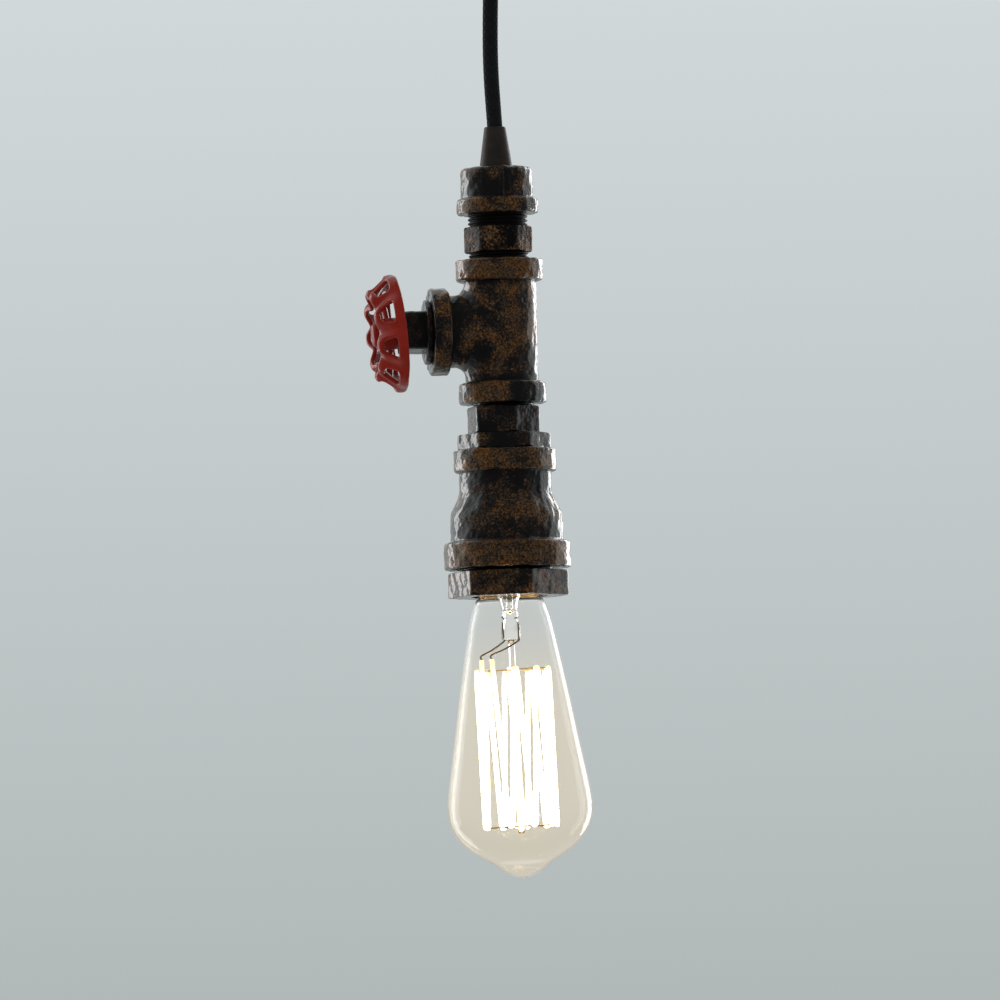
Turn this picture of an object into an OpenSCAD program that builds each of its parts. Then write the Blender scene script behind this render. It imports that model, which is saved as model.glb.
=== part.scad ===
// Pendant light made of screwed malleable iron pipe fittings, with a valve wheel on its side branch.
// Millimetres, +Z up. The origin is the middle of the ceiling face of the rose, so the lamp hangs below it.
// The side branch points along -X.

/* [Ceiling rose] */
// Outer diameter of the cup
rose_d = 100; // [94:1:140]
// Height of the cup
rose_h = 30; // [28:1:45]
// Sheet thickness of the cup
rose_wall = 1.2; // [0.8:0.1:2]
// Radius of the cup's lower edge
rose_round = 6; // [3:0.5:10]
// Width of the mounting strap
strap_w = 18; // [14:1:24]
// Sheet thickness of the mounting strap
strap_t = 1.6; // [1.2:0.1:2.2]
// Height of the strap's bent-down ends
strap_lug = 14; // [12:1:18]
// Distance between the middles of the two fixing slots
slot_spacing = 70; // [64:1:72]
// Width of a fixing slot
slot_w = 4.6; // [3.6:0.1:6]
// Length of a fixing slot
slot_l = 11; // [8:0.5:12]
// Diameter of the side screws that hold the cup to the strap
side_screw_d = 4; // [3:0.5:5]
// Depth of the side screws below the ceiling
side_screw_z = 8; // [7:0.5:9]
// Length of the terminal block
block_l = 18; // [14:1:19]
// Width of the terminal block
block_w = 17; // [15:1:22]
// Height of the terminal block
block_h = 10; // [9:0.5:11]
// Distance of the block's near end from the middle
block_x = 9; // [8:0.5:10]
// Distance of the earth screw from the middle
earth_x = 16; // [13:0.5:20]

/* [Cord and wires] */
// Diameter of the round fabric cord
cord_d = 6.8; // [6:0.1:7]
// Free length of cord between its two grips
cord_free = 83; // [60:1:400]
// Diameter of a single wire
wire_d = 2.2; // [1.6:0.1:2.4]

/* [Cord grips] */
// Height of the cone
grip_h = 18; // [14:0.5:24]
// Diameter of the cone's tip
grip_tip_d = 9.4; // [9:0.1:11]
// Diameter of the cone's base
grip_base_d = 14.6; // [13:0.1:18]
// Diameter of the threaded tail
grip_tail_d = 10; // [9.6:0.1:11]
// Length of the threaded tail
grip_tail_l = 9; // [8.5:0.1:10]
// Space between the cord and the bore
grip_fit = 0.3; // [0.2:0.05:0.4]
// Diameter of the grub screw
grub_d = 3; // [2:0.5:4]
// Height of the grub screw above the base
grub_z = 4; // [3:0.5:6]
// Size of the lock nut across its flats
nut_af = 14; // [13:0.5:17]
// Thickness of the lock nut
nut_h = 3.4; // [2.5:0.1:3.6]

/* [Threads] */
// Outer diameter of a 3/4 inch pipe thread
thread_small = 26.4; // [25:0.1:27]
// Outer diameter of a 1 inch pipe thread
thread_mid = 33.2; // [32:0.1:34]
// Outer diameter of a 1 1/4 inch pipe thread
thread_large = 41.9; // [41:0.1:43]
// Pitch of the pipe threads
thread_pitch = 1.8; // [1.4:0.1:2.3]
// Depth of the pipe threads
thread_deep = 1.1; // [0.8:0.1:1.4]
// Space round a thread in its fitting
thread_fit = 0.15; // [0.1:0.05:0.3]
// Depth to which a thread is screwed in
engage = 11; // [9.5:0.5:12]
// Bore through the nipples
bore_d = 19; // [17:0.5:20]

/* [Pipe cap] */
// Height of the cap
cap_h = 20.6; // [20:0.1:26]
// Diameter of the cap's body
cap_d = 31.4; // [30.5:0.1:34]
// Thickness of the cap's top
cap_top = 5; // [3:0.5:5.5]
// Radius of the cap's upper edge
cap_round = 3; // [1:0.5:4]
// Diameter of the bead round the cap's mouth
cap_bead_d = 35.2; // [34.5:0.1:40]
// Height of that bead
cap_bead_h = 6.6; // [4:0.1:8]
// Depth to which the upper nipple is screwed into the cap
cap_engage = 7; // [6:0.5:7.5]
// Length of thread that shows below the cap
cap_exposed = 5.7; // [1:0.1:8]

/* [Hexagons] */
// Size of the upper nipple across its flats
upper_af = 27; // [26.6:0.1:30]
// Diameter to which its corners are turned
upper_round_d = 30; // [29:0.1:34]
// Height of its hexagon
upper_hex_h = 11.4; // [8:0.1:14]
// Length of thread that shows below it
upper_exposed = 2.4; // [0.5:0.1:4]
// Size of the lower nipple across its flats
lower_af = 29; // [27.5:0.1:32]
// Diameter to which its corners are turned
lower_round_d = 32.8; // [31:0.1:36]
// Height of its hexagon
lower_hex_h = 11.6; // [8:0.1:14]
// Length of thread that shows above it
lower_exposed = 1.4; // [0.5:0.1:4]
// Size of the reducing bush across its flats
bush_af = 37; // [35:0.1:40]
// Diameter to which its corners are turned
bush_round_d = 41.2; // [39:0.1:44]
// Height of its hexagon
bush_h = 6.6; // [4:0.1:9]
// Gap between one hexagon or rim and the next
joint_gap = 0.4; // [0.2:0.1:0.8]
// Size of the lamp bush across its flats
lamp_bush_af = 47; // [45:0.1:50]
// Diameter to which its corners are turned
lamp_bush_round_d = 52; // [50:0.1:56]
// Height of its hexagon
lamp_bush_h = 11; // [8:0.1:14]
// Length of thread that shows above it
lamp_bush_exposed = 1.4; // [0.5:0.1:4]
// Bore of the lamp bush
lamp_bush_bore = 31; // [30:0.1:32]

/* [Tee] */
// Distance from the tee's middle to each end of its run
tee_half = 32.2; // [30:0.1:40]
// Distance from the tee's middle to the end of its branch
tee_branch = 31.6; // [31:0.1:40]
// Diameter of the tee's body
tee_d = 32; // [30.5:0.1:36]
// Diameter of the band round each mouth
tee_band_d = 38.4; // [36:0.1:44]
// Width of those bands
tee_band_h = 9; // [6:0.1:11]
// Width of the band at its branch
branch_band_h = 7.6; // [6:0.1:11]
// Diameter of the hollow inside
tee_hollow_d = 24; // [20:0.5:25]

/* [Reducing socket] */
// Height of the socket
socket_h = 52.4; // [50:0.1:60]
// Diameter of its upper band
socket_top_d = 45.2; // [42:0.1:48]
// Height of its upper band
socket_top_h = 9.6; // [6:0.1:12]
// Diameter of its neck
socket_neck_d = 40.8; // [39:0.1:44]
// Diameter of its body
socket_body_d = 49.6; // [47:0.1:53]
// Height of the body between the lower band and the shoulder
socket_body_h = 12.3; // [8:0.1:14]
// Height of the shoulder from the body to the neck
socket_shoulder_h = 8.8; // [6:0.1:12]
// Diameter of its lower band
socket_base_d = 55.8; // [53:0.1:60]
// Height of its lower band
socket_base_h = 11.4; // [8:0.1:13]
// Depth of the wide bore from the lower face
socket_step = 24.6; // [22:0.1:26]
// Radius of the edges of bands and beads
edge_round = 1.8; // [0.5:0.1:2.5]

/* [Plug and valve wheel] */
// Diameter of the plug's collar
plug_collar_d = 28.6; // [27.5:0.1:32]
// Thickness of the plug's collar
plug_collar_h = 2.2; // [1.5:0.1:4]
// Size of the plug's square head across its flats
plug_af = 17; // [15:0.5:19]
// Length of the plug's square head
plug_head_l = 11.1; // [8:0.1:14]
// Diameter of the wheel
wheel_d = 52; // [48:0.5:60]
// Depth of the wheel from its rim to its front
wheel_depth = 13.6; // [13:0.1:17]
// How far the rim reaches back over the square head
wheel_overlap = 0.5; // [0.5:0.1:3]
// Lean of the wheel's screw below the branch's axis, in degrees
wheel_droop = 5; // [0:0.5:6]
// Width of the plain band along the rim
wheel_band = 4.4; // [3:0.1:5.5]
// Wall thickness of the wheel
wheel_wall = 2.2; // [1.6:0.1:2.8]
// Radius of the round opening in the wheel's front
wheel_open_r = 13.5; // [12:0.1:14]
// Number of lobes round the wheel
lobes = 9; // [7:1:10]
// Distance of the lobes' tips from the wheel's axis
lobe_r = 20.6; // [19.8:0.1:22]
// Distance of the valleys between the lobes from the wheel's axis
valley_r = 17; // [16.4:0.1:18]
// Radius of the grooves that make those valleys
groove_r = 5; // [4:0.1:6]
// Width of the window behind each lobe
window_w = 8.4; // [6:0.1:9.5]
// Height of the window behind each lobe
window_h = 6.6; // [5:0.1:7]
// Number of spokes
spokes = 3; // [3:1:5]
// Width of a spoke
spoke_w = 5; // [4:0.5:5.5]
// Thickness of a spoke
spoke_t = 3; // [2:0.1:4]
// Diameter of the hub
hub_d = 14; // [12:0.5:16]
// Length of the hub
hub_l = 7.6; // [6.5:0.1:8]
// Diameter of the screw that the wheel turns on
axle_d = 6; // [5:0.5:7]
// Running clearance between the hub and that screw, on the radius
axle_fit = 0.05; // [0.02:0.01:0.1]
// Length of that screw inside the plug
axle_deep = 8; // [6:0.5:9]

/* [Lampholder] */
// Diameter of the porcelain flange
holder_d = 39; // [38.4:0.1:39.4]
// Diameter of the porcelain boss above it
holder_boss_d = 30; // [27:0.5:32]
// Height of that boss
holder_boss_h = 12; // [9:0.5:12]
// Outer diameter of the brass screw shell
shell_d = 29.2; // [28.8:0.1:29.6]
// Wall thickness of the brass screw shell
shell_wall = 0.9; // [0.6:0.1:1]
// Distance of the shell's lower edge above the bush's mouth
shell_rise = 2.2; // [1:0.1:4]
// Depth of the shell's seat in the porcelain
shell_seat = 2.6; // [1.5:0.1:3]
// Diameter of the middle contact
contact_d = 9; // [6:0.5:12]
// Distance between the two terminal screws
terminal_spacing = 16; // [14:0.5:20]
// Diameter of the terminal and earth screws
terminal_d = 3; // [2.5:0.5:4]

/* [Bulb] */
// Largest diameter of the glass
bulb_d = 64; // [60:0.5:70]
// Length of the glass below the cap
bulb_l = 124.7; // [115:0.1:140]
// Thickness of the glass
glass_t = 0.8; // [0.6:0.1:1.2]
// Lean of the glass in its cap, in degrees
glass_lean = 1.4; // [0:0.1:2]
// Depth of the cap's rim inside the bush's mouth
rim_depth = 0.7; // [0.3:0.1:2]
// Outer diameter of the cap's screw thread
screw_d = 26.4; // [26:0.1:26.6]
// Pitch of the cap's screw thread
screw_pitch = 3.6; // [3.4:0.1:3.8]
// Length of the cap from its rim to the middle contact
screw_l = 26; // [25:0.1:26.2]
// Radius of the filament cage
cage_r = 16; // [14:0.5:17]
// Number of filament strands, even
strands = 18; // [12:2:22]
// Diameter of the coiled filament
filament_d = 0.9; // [0.6:0.1:1.2]
// Depth of the upper filament hooks below the cap's rim
cage_top = 33; // [30:0.5:36]
// Height of the lower filament hooks above the glass's tip
cage_rise = 20.7; // [19:0.1:27]

/* [Hidden] */
$fn = 96;

// Colours of the finishes
bronze = [0.22, 0.15, 0.10];
black = [0.10, 0.09, 0.09];
red = [0.55, 0.08, 0.07];
brass = [0.78, 0.60, 0.28];
steel = [0.62, 0.62, 0.64];
porcelain = [0.92, 0.90, 0.86];
glass = [0.85, 0.88, 0.88, 0.35];
glow = [1.0, 0.85, 0.55];

// Heights of the stack, each taken from the piece above it
grip_tip_z = -(rose_h + grip_h + cord_free);
cap_top_z = grip_tip_z - grip_h;
cap_base_z = cap_top_z - cap_h;
upper_hex_z = cap_base_z - cap_exposed - upper_hex_h;
tee_top_z = upper_hex_z - upper_exposed;
tee_z = tee_top_z - tee_half;
tee_base_z = tee_z - tee_half;
lower_hex_z = tee_base_z - lower_exposed - lower_hex_h;
bush_z = lower_hex_z - joint_gap - bush_h;
socket_top_z = bush_z - joint_gap;
socket_base_z = socket_top_z - socket_h;
mouth_z = socket_base_z - lamp_bush_exposed - lamp_bush_h;
lamp_bush_top_z = socket_base_z + engage;
socket_step_z = socket_base_z + socket_step;
holder_flange_h = socket_step_z - lamp_bush_top_z;
holder_top_z = socket_step_z + holder_boss_h;
rim_z = mouth_z + rim_depth;
contact_z = rim_z + screw_l;

// Turn of each hexagon and of the square head about its own axis, in degrees
upper_turn = -7;
lower_turn = -22;
bush_turn = -7;
lamp_bush_turn = -12;
square_turn = 6;
grub_turn = -75;
wheel_turn = 11;

// How far a cut runs past the face that it opens
past = 1;

// Strap and screws of the rose
seat_gap = 0.2;
screw_fit = 0.1;
strap_half = sqrt(pow(rose_d / 2 - rose_wall, 2) - pow(strap_w / 2, 2)) - seat_gap;
head_h = 2.4;
head_share = 0.95;
head_edge = 1;
block_mid_x = block_x + block_l / 2;
pole_y = block_w / 4;
pole_z = -strap_t - block_h / 2;
wire_room = 0.4;
pole_hole_l = 4;
pole_screw_l = block_h / 2 - wire_d / 2 - wire_room;

// Distances along the branch from the tee's axis
plug_face = tee_branch + joint_gap;
head_face = plug_face + plug_collar_h + plug_head_l;
wheel_back = head_face - wheel_overlap;
wheel_play = 0.1;
hub_face = head_face + wheel_play + hub_d / 2 * tan(wheel_droop);
washer_face = hub_face + hub_l + wheel_play;
washer_h = 1;
washer_d = axle_d * 2;
axle_head_d = axle_d * 1.7;
axle_head_h = 2.6;
ring_h = wheel_depth - wheel_band - window_h;
rib_foot = [wheel_d / 2 - wheel_wall * 0.8, wheel_band / 2];
rib_head = [valley_r - wheel_wall * 0.8, wheel_depth - ring_h / 2];
lobe_bevel = ring_h * 0.45;
pocket_r = 3;
pocket_x = valley_r - pocket_r;
rib_lean = atan2(rib_foot[0] - rib_head[0], rib_head[1] - rib_foot[1]);
rib_w = PI * (rib_foot[0] + rib_head[0]) / lobes - window_w;

// Bulb: half outline as depth below the rim and radius, for the diameter and length above
neck_r = 11.4;
neck_up = 6;
bulge = bulb_d / 2;
taper_top = 13;
taper_base = bulb_l - 34;
taper_r = 18.3;
cage_base = bulb_l - cage_rise;

// Point on the glass's taper, at a share of its length and of its growth in radius
function taper(along, out) =
    [taper_top + (taper_base - taper_top) * along, taper_r + (bulge - taper_r) * out];

glass_points = [
    [-neck_up, neck_r], [-1, neck_r], [0.4, 12.4], [2.2, 14.1], [6, 15.9],
    taper(0, 0), taper(0.21, 0.24), taper(0.42, 0.455), taper(0.66, 0.68), taper(0.875, 0.89),
    [taper_base, bulge - 0.1], [bulb_l - 30, bulge], [bulb_l - 26, bulge - 0.4], [bulb_l - 22, bulge - 1.7],
    [bulb_l - 18, bulge - 4], [bulb_l - 14.5, bulge - 7], [bulb_l - 11.5, bulge - 10.6],
    [bulb_l - 9, bulge - 14.7], [bulb_l - 6.8, 13.3], [bulb_l - 4.4, 10.2], [bulb_l - 2, 6.9]
];
glass_tip = [bulb_l, 0];
cap_skirt_r = 13.4;
cap_wall = 0.6;
cap_skirt_h = 4;
insulator_h = 4;
contact_h = 1.2;
bulb_contact_r = 4.6;
contact_gap = 0.2;
contact_disc_h = 1;
stem_r = 4.2;
press_top = 9.5;
press_base = 21;
press_w = 9;
press_t = 4;
rod_r = 1.4;
rod_gap = 0.1;
bead_r = 2.6;
bead_h = 3;
hook_r = 0.3;
hook_gap = 0.3;
lead_d = 0.8;
lead_gap = 0.1;
lead_drop = 27.5;
first_angle = 228;
cage_span = 337;
bend_w = 0.9;
bend_h = 1.4;

// Ends of the cord inside its two grips, and of the wires on their screws
wire_gap = 0.3;
cord_low_z = cap_top_z - grip_tail_l - 2;
cord_high_z = grip_tail_l + 1 - rose_h;
wire_low_z = cord_low_z - wire_gap;
wire_high_z = cord_high_z + wire_gap;
holder_wire_z = holder_top_z + head_h + wire_gap;
earth_wire_x = head_h + engage + wire_gap - tee_branch;
rose_earth_wire_x = terminal_d * head_share + wire_gap - earth_x;
pole_wire_x = block_x + pole_hole_l - 1;

// Heights at a share of the way: up the free cord, down to the lampholder or the tee, up to the terminals
function free_z(share) = grip_tip_z + cord_free * share;
function lamp_z(share) = wire_low_z + (holder_wire_z - wire_low_z) * share;
function branch_z(share) = wire_low_z + (tee_z - wire_low_z) * share;
function rose_z(share) = wire_high_z + (pole_z - wire_high_z) * share;

// Routes, chosen by hand, from the lower end of the cord to its upper end and from the cord to each terminal
cord_route = [
    [0, 0, cord_low_z], [0, 0, cord_low_z + 14], [0, 0, grip_tip_z - 1], [-0.4, 0, free_z(0.1)],
    [-0.9, 0, free_z(0.25)], [-1, 0, free_z(0.4)], [-0.7, 0, free_z(0.55)], [-0.2, 0, free_z(0.7)],
    [0.1, 0, free_z(0.85)], [0, 0, free_z(1) - 1], [0, 0, cord_high_z - 14], [0, 0, cord_high_z]
];
lamp_route = [
    [1.6, 0.9, lamp_z(0)], [1.8, 0.9, lamp_z(0.05)], [2.6, 1.2, lamp_z(0.16)], [3, 1.5, lamp_z(0.31)],
    [3.2, 2, lamp_z(0.47)], [3.6, 2, lamp_z(0.63)], [4.4, 1.4, lamp_z(0.77)], [5.6, 0.6, lamp_z(0.88)],
    [terminal_spacing / 2 - 0.6, 0.1, lamp_z(0.95)], [terminal_spacing / 2, 0, lamp_z(1)]
];
live_route = [for (p = lamp_route) [-p.x, p.y, p.z]];
neutral_route = lamp_route;
earth_route = [
    [0, -1.8, branch_z(0)], [0, -1.9, branch_z(0.13)], [0, -2.2, branch_z(0.4)], [-0.3, -2.2, branch_z(0.62)],
    [-2.2, -2, branch_z(0.78)], [-6, -1.2, branch_z(0.91)], [-11, -0.4, branch_z(0.98)],
    [-15, 0, tee_z], [earth_wire_x, 0, tee_z]
];
rose_live_route = [
    [-1.6, 0.9, rose_z(0)], [-1.6, 1.2, rose_z(0.22)], [0, 2.2, rose_z(0.63)], [3.6, 3.6, rose_z(0.91)],
    [block_x - 1, pole_y, pole_z], [pole_wire_x, pole_y, pole_z]
];
rose_neutral_route = [
    [1.6, 0.9, rose_z(0)], [1.6, 0.7, rose_z(0.22)], [2.2, -2.2, rose_z(0.63)], [4.4, -3.8, rose_z(0.91)],
    [block_x - 1, -pole_y, pole_z], [pole_wire_x, -pole_y, pole_z]
];
rose_earth_route = [
    [0, -1.8, rose_z(0)], [-0.6, -2, rose_z(0.26)], [-3.4, -1.8, rose_z(0.67)], [-7, -1, rose_z(0.97)],
    [-10, -0.2, -strap_t - head_h - 0.6], [rose_earth_wire_x, 0, -strap_t - head_h]
];

// Points of an arc about c, from angle a to angle b
function arc(c, r, a, b, steps = 6) =
    [for (i = [0:steps]) c + r * [cos(a + (b - a) * i / steps), sin(a + (b - a) * i / steps)]];

// One point of the smooth curve through p1 and p2, with its neighbours p0 and p3, at t from 0 to 1
function curve_point(p0, p1, p2, p3, t) =
    p1 + t * (p2 - p0) / 2 + t * t * (2 * p0 - 5 * p1 + 4 * p2 - p3) / 2
    + t * t * t * (3 * p1 - p0 - 3 * p2 + p3) / 2;

// Smooth curve through all the points of a list
function smooth(p, steps) = [
    for (i = [0:len(p) - 2], k = [0:steps - 1])
        curve_point(p[max(i - 1, 0)], p[i], p[i + 1], p[min(i + 2, len(p) - 1)], k / steps),
    p[len(p) - 1]
];

function unit(v) = v / norm(v);

// Directions along a route, and a side direction carried along it without twist
function along(p) = [for (i = [0:len(p) - 1]) unit(p[min(i + 1, len(p) - 1)] - p[max(i - 1, 0)])];
function carried(t, n, i = 0) =
    i == len(t) ? [] : let (m = unit(n - t[i] * (n * t[i]))) concat([m], carried(t, m, i + 1));

// Round tube along a route, with flat ends
module tube(route, d, sides) {
    t = along(route);
    start = abs(t[0].x) < 0.9 ? [1, 0, 0] : [0, 1, 0];
    n = carried(t, start);
    last = len(route) - 1;
    points = [
        for (i = [0:last], j = [0:sides - 1])
            route[i] + d / 2 * (cos(360 * j / sides) * n[i] + sin(360 * j / sides) * cross(t[i], n[i]))
    ];
    walls = [
        for (i = [0:last - 1], j = [0:sides - 1])
            let (a = i * sides + j, b = i * sides + (j + 1) % sides)
            each [[a, a + sides, b], [b, a + sides, b + sides]]
    ];
    ends = [
        for (j = [1:sides - 2])
            each [[0, j, j + 1], [last * sides, last * sides + j + 1, last * sides + j]]
    ];
    polyhedron(points, concat(walls, ends));
}

// Solid of revolution about Z from an outline of radius and height
module turned(outline) {
    rotate_extrude() polygon(outline);
}

// Round block with its upper and lower outer edges rounded
module rounded_disc(d, h, edge) {
    turned(concat(
        [[0, 0]],
        arc([d / 2 - edge, edge], edge, -90, 0),
        arc([d / 2 - edge, h - edge], edge, 0, 90),
        [[0, h]]
    ));
}

// Hexagon with its corners turned round and its edges eased
module hex_block(af, round_d, h, turn) {
    intersection() {
        rotate(turn) cylinder(d = af / cos(30), h = h, $fn = 6);
        rounded_disc(round_d, h, edge_round);
    }
}

// External pipe thread of length l, as ridges on a round core
module male_thread(d, l) {
    turns = floor(l / thread_pitch);
    step = l / turns;
    turned(concat(
        [[0, 0]],
        [
            for (i = [0:turns - 1])
                each [[d / 2 - thread_deep, i * step], [d / 2, (i + 0.5) * step]]
        ],
        [[d / 2 - thread_deep, l], [0, l]]
    ));
}

// Room for a pipe thread of diameter d and length l
module female_bore(d, l) {
    cylinder(d = d + 2 * thread_fit, h = l);
}

// Frame of the side branch: Z runs outwards along it from the tee's axis
module on_branch(distance) {
    translate([0, 0, tee_z]) rotate([0, -90, 0]) translate([0, 0, distance]) children();
}

// Frame of the wheel and its screw, which lean down from the middle of the square head
module on_wheel(distance) {
    on_branch(head_face) rotate([0, -wheel_droop, 0]) translate([0, 0, distance - head_face]) children();
}

// Round-headed screw with its seat at z = 0, its head above and its shank below
module screw(d, l) {
    r = d * head_share;
    turned(concat(
        [[0, 0], [r, 0]],
        arc([r - head_edge, head_h - head_edge], head_edge, 0, 90),
        [[0, head_h]]
    ));
    translate([0, 0, -l]) cylinder(d = d, h = l);
}

// Cone that grips the cord, with its base at z = 0 and its threaded tail below
module grip_body() {
    difference() {
        union() {
            cylinder(d1 = grip_base_d, d2 = grip_tip_d, h = grip_h);
            translate([0, 0, -grip_tail_l]) cylinder(d = grip_tail_d, h = grip_tail_l);
        }
        translate([0, 0, -grip_tail_l - past])
            cylinder(d = cord_d + 2 * grip_fit, h = grip_tail_l + grip_h + 2 * past);
        rotate(grub_turn) translate([0, 0, grub_z]) rotate([0, 90, 0])
            cylinder(d = grub_d + 2 * screw_fit, h = grip_base_d);
    }
}

// Grub screw that bears on the cord through the side of the cone
module grip_screw() {
    inner = cord_d / 2 + grip_fit;
    outer = grip_base_d / 2 - (grip_base_d - grip_tip_d) / 2 * grub_z / grip_h;
    key_deep = 1;
    rotate(grub_turn) translate([inner, 0, grub_z]) rotate([0, 90, 0]) difference() {
        cylinder(d = grub_d, h = outer - inner);
        translate([0, 0, outer - inner - key_deep]) cylinder(d = grub_d / 2, h = key_deep + past, $fn = 6);
    }
}

// Lock nut under the cone's seat, whose thickness is given
module grip_nut(seat) {
    translate([0, 0, -seat - nut_h]) difference() {
        cylinder(d = nut_af / cos(30), h = nut_h, $fn = 6);
        translate([0, 0, -past]) cylinder(d = grip_tail_d + 2 * screw_fit, h = nut_h + 2 * past);
    }
}

// The two places of a cord grip: on the pipe cap and, upside down, under the rose
module at_cap() {
    translate([0, 0, cap_top_z]) children();
}

module at_rose() {
    translate([0, 0, -rose_h]) rotate([180, 0, 0]) children();
}

module rose_cup() {
    r = rose_d / 2;
    color(black) difference() {
        translate([0, 0, -rose_h]) turned(concat(
            [[0, 0]],
            arc([r - rose_round, rose_round], rose_round, -90, 0),
            [[r, rose_h], [r - rose_wall, rose_h]],
            arc([r - rose_round, rose_round], rose_round - rose_wall, 0, -90),
            [[0, rose_wall]]
        ));
        translate([0, 0, -rose_h - past])
            cylinder(d = grip_tail_d + 2 * screw_fit, h = rose_wall + 2 * past);
        for (side = [-1, 1])
            translate([side * r, 0, -side_screw_z]) rotate([0, 90, 0])
                cylinder(d = side_screw_d + 2 * screw_fit, h = 6 * rose_wall, center = true);
    }
}

module slot() {
    run = slot_l - slot_w;
    for (side = [-1, 1])
        translate([side * run / 2, 0, -2 * strap_t]) cylinder(d = slot_w, h = 3 * strap_t);
    translate([-run / 2, -slot_w / 2, -2 * strap_t]) cube([run, slot_w, 3 * strap_t]);
}

module rose_strap() {
    color(steel) difference() {
        union() {
            translate([-strap_half, -strap_w / 2, -strap_t]) cube([2 * strap_half, strap_w, strap_t]);
            for (side = [0, 1])
                mirror([side, 0, 0]) translate([strap_half - strap_t, -strap_w / 2, -strap_lug])
                    cube([strap_t, strap_w, strap_lug]);
        }
        for (side = [-1, 1]) {
            translate([side * slot_spacing / 2, 0, 0]) slot();
            translate([side * strap_half, 0, -side_screw_z]) rotate([0, 90, 0])
                cylinder(d = side_screw_d + 2 * screw_fit, h = 6 * strap_t, center = true);
        }
        translate([-earth_x, 0, -2 * strap_t]) cylinder(d = terminal_d + 2 * screw_fit, h = 3 * strap_t);
        translate([block_mid_x, 0, -2 * strap_t]) cylinder(d = terminal_d + 2 * screw_fit, h = 3 * strap_t);
    }
}

module rose_side_screws() {
    inside = rose_d / 2 - strap_half + 2 * strap_t;
    color(black) for (side = [0, 1])
        mirror([side, 0, 0]) translate([rose_d / 2, 0, -side_screw_z]) rotate([0, 90, 0])
            screw(side_screw_d, inside);
}

module terminal_block() {
    color(porcelain) difference() {
        translate([block_x, -block_w / 2, -strap_t - block_h]) cube([block_l, block_w, block_h]);
        for (side = [-1, 1], end = [0, 1])
            translate([block_mid_x, side * pole_y, pole_z]) rotate([0, 0, 180 * end]) {
                translate([block_l / 2 - pole_hole_l, 0, 0]) rotate([0, 90, 0])
                    cylinder(d = wire_d + 2 * wire_room, h = pole_hole_l + past);
                translate([block_l / 4, 0, -block_h / 2 - past])
                    cylinder(d = terminal_d + 2 * screw_fit, h = pole_screw_l + past);
            }
        translate([block_mid_x, 0, -strap_t - block_h - past]) {
            cylinder(d = terminal_d + 2 * screw_fit, h = block_h + 2 * past);
            cylinder(d = terminal_d * 2.2, h = head_h + past);
        }
    }
}

module terminal_screws() {
    color(brass) for (side = [-1, 1], end = [-1, 1])
        translate([block_mid_x + end * block_l / 4, side * pole_y, -strap_t - block_h])
            cylinder(d = terminal_d, h = pole_screw_l);
}

module block_screw() {
    color(steel) translate([block_mid_x, 0, head_h - strap_t - block_h]) rotate([180, 0, 0])
        screw(terminal_d, block_h + strap_t - head_h - seat_gap);
}

module rose_earth_screw() {
    color(brass) translate([-earth_x, 0, -strap_t]) rotate([180, 0, 0]) screw(terminal_d, strap_t);
}

module rose_live_wire() {
    color("saddlebrown") tube(smooth(rose_live_route, 2), wire_d, 8);
}

module rose_neutral_wire() {
    color("steelblue") tube(smooth(rose_neutral_route, 2), wire_d, 8);
}

module rose_earth_wire() {
    color("olivedrab") tube(smooth(rose_earth_route, 2), wire_d, 8);
}

module rose_grip() {
    color(bronze) at_rose() grip_body();
}

module rose_grip_screw() {
    color(steel) at_rose() grip_screw();
}

module rose_grip_nut() {
    color(brass) at_rose() grip_nut(rose_wall);
}

module cord() {
    color(black) tube(cord_route, cord_d, 12);
}

module cord_grip() {
    color(bronze) at_cap() grip_body();
}

module cord_grip_screw() {
    color(steel) at_cap() grip_screw();
}

module cord_grip_nut() {
    color(brass) at_cap() grip_nut(cap_top);
}

// Cap with a beaded mouth and the two ridges where its mould parted
module pipe_cap() {
    ridge_r = 0.7;
    color(bronze) translate([0, 0, cap_base_z]) difference() {
        union() {
            turned(concat(
                [[0, 0], [cap_d / 2, 0]],
                arc([cap_d / 2 - cap_round, cap_h - cap_round], cap_round, 0, 90),
                [[0, cap_h]]
            ));
            rounded_disc(cap_bead_d, cap_bead_h, edge_round);
            for (side = [-1, 1])
                translate([0, side * cap_d / 2, cap_bead_h - ridge_r])
                    cylinder(r = ridge_r, h = cap_h - cap_bead_h - cap_round);
        }
        translate([0, 0, -past]) female_bore(thread_small, cap_h - cap_top + past);
        cylinder(d = grip_tail_d + 2 * screw_fit, h = cap_h + past);
    }
}

// Hexagon nipple with a thread of the given length above and below
module nipple(af, round_d, hex_h, turn, up, down) {
    core_d = (thread_small + bore_d) / 2 - thread_deep;
    difference() {
        union() {
            hex_block(af, round_d, hex_h, turn);
            translate([0, 0, hex_h]) male_thread(thread_small, up);
            translate([0, 0, -down]) male_thread(thread_small, down);
            translate([0, 0, -down]) cylinder(d = core_d, h = up + down + hex_h);
        }
        translate([0, 0, -down - past]) cylinder(d = bore_d, h = up + down + hex_h + 2 * past);
    }
}

module upper_nipple() {
    color(bronze) translate([0, 0, upper_hex_z])
        nipple(
            upper_af, upper_round_d, upper_hex_h, upper_turn,
            cap_exposed + cap_engage, upper_exposed + engage
        );
}

module lower_nipple() {
    color(bronze) translate([0, 0, lower_hex_z])
        nipple(
            lower_af, lower_round_d, lower_hex_h, lower_turn,
            lower_exposed + engage, joint_gap + engage
        );
}

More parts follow.
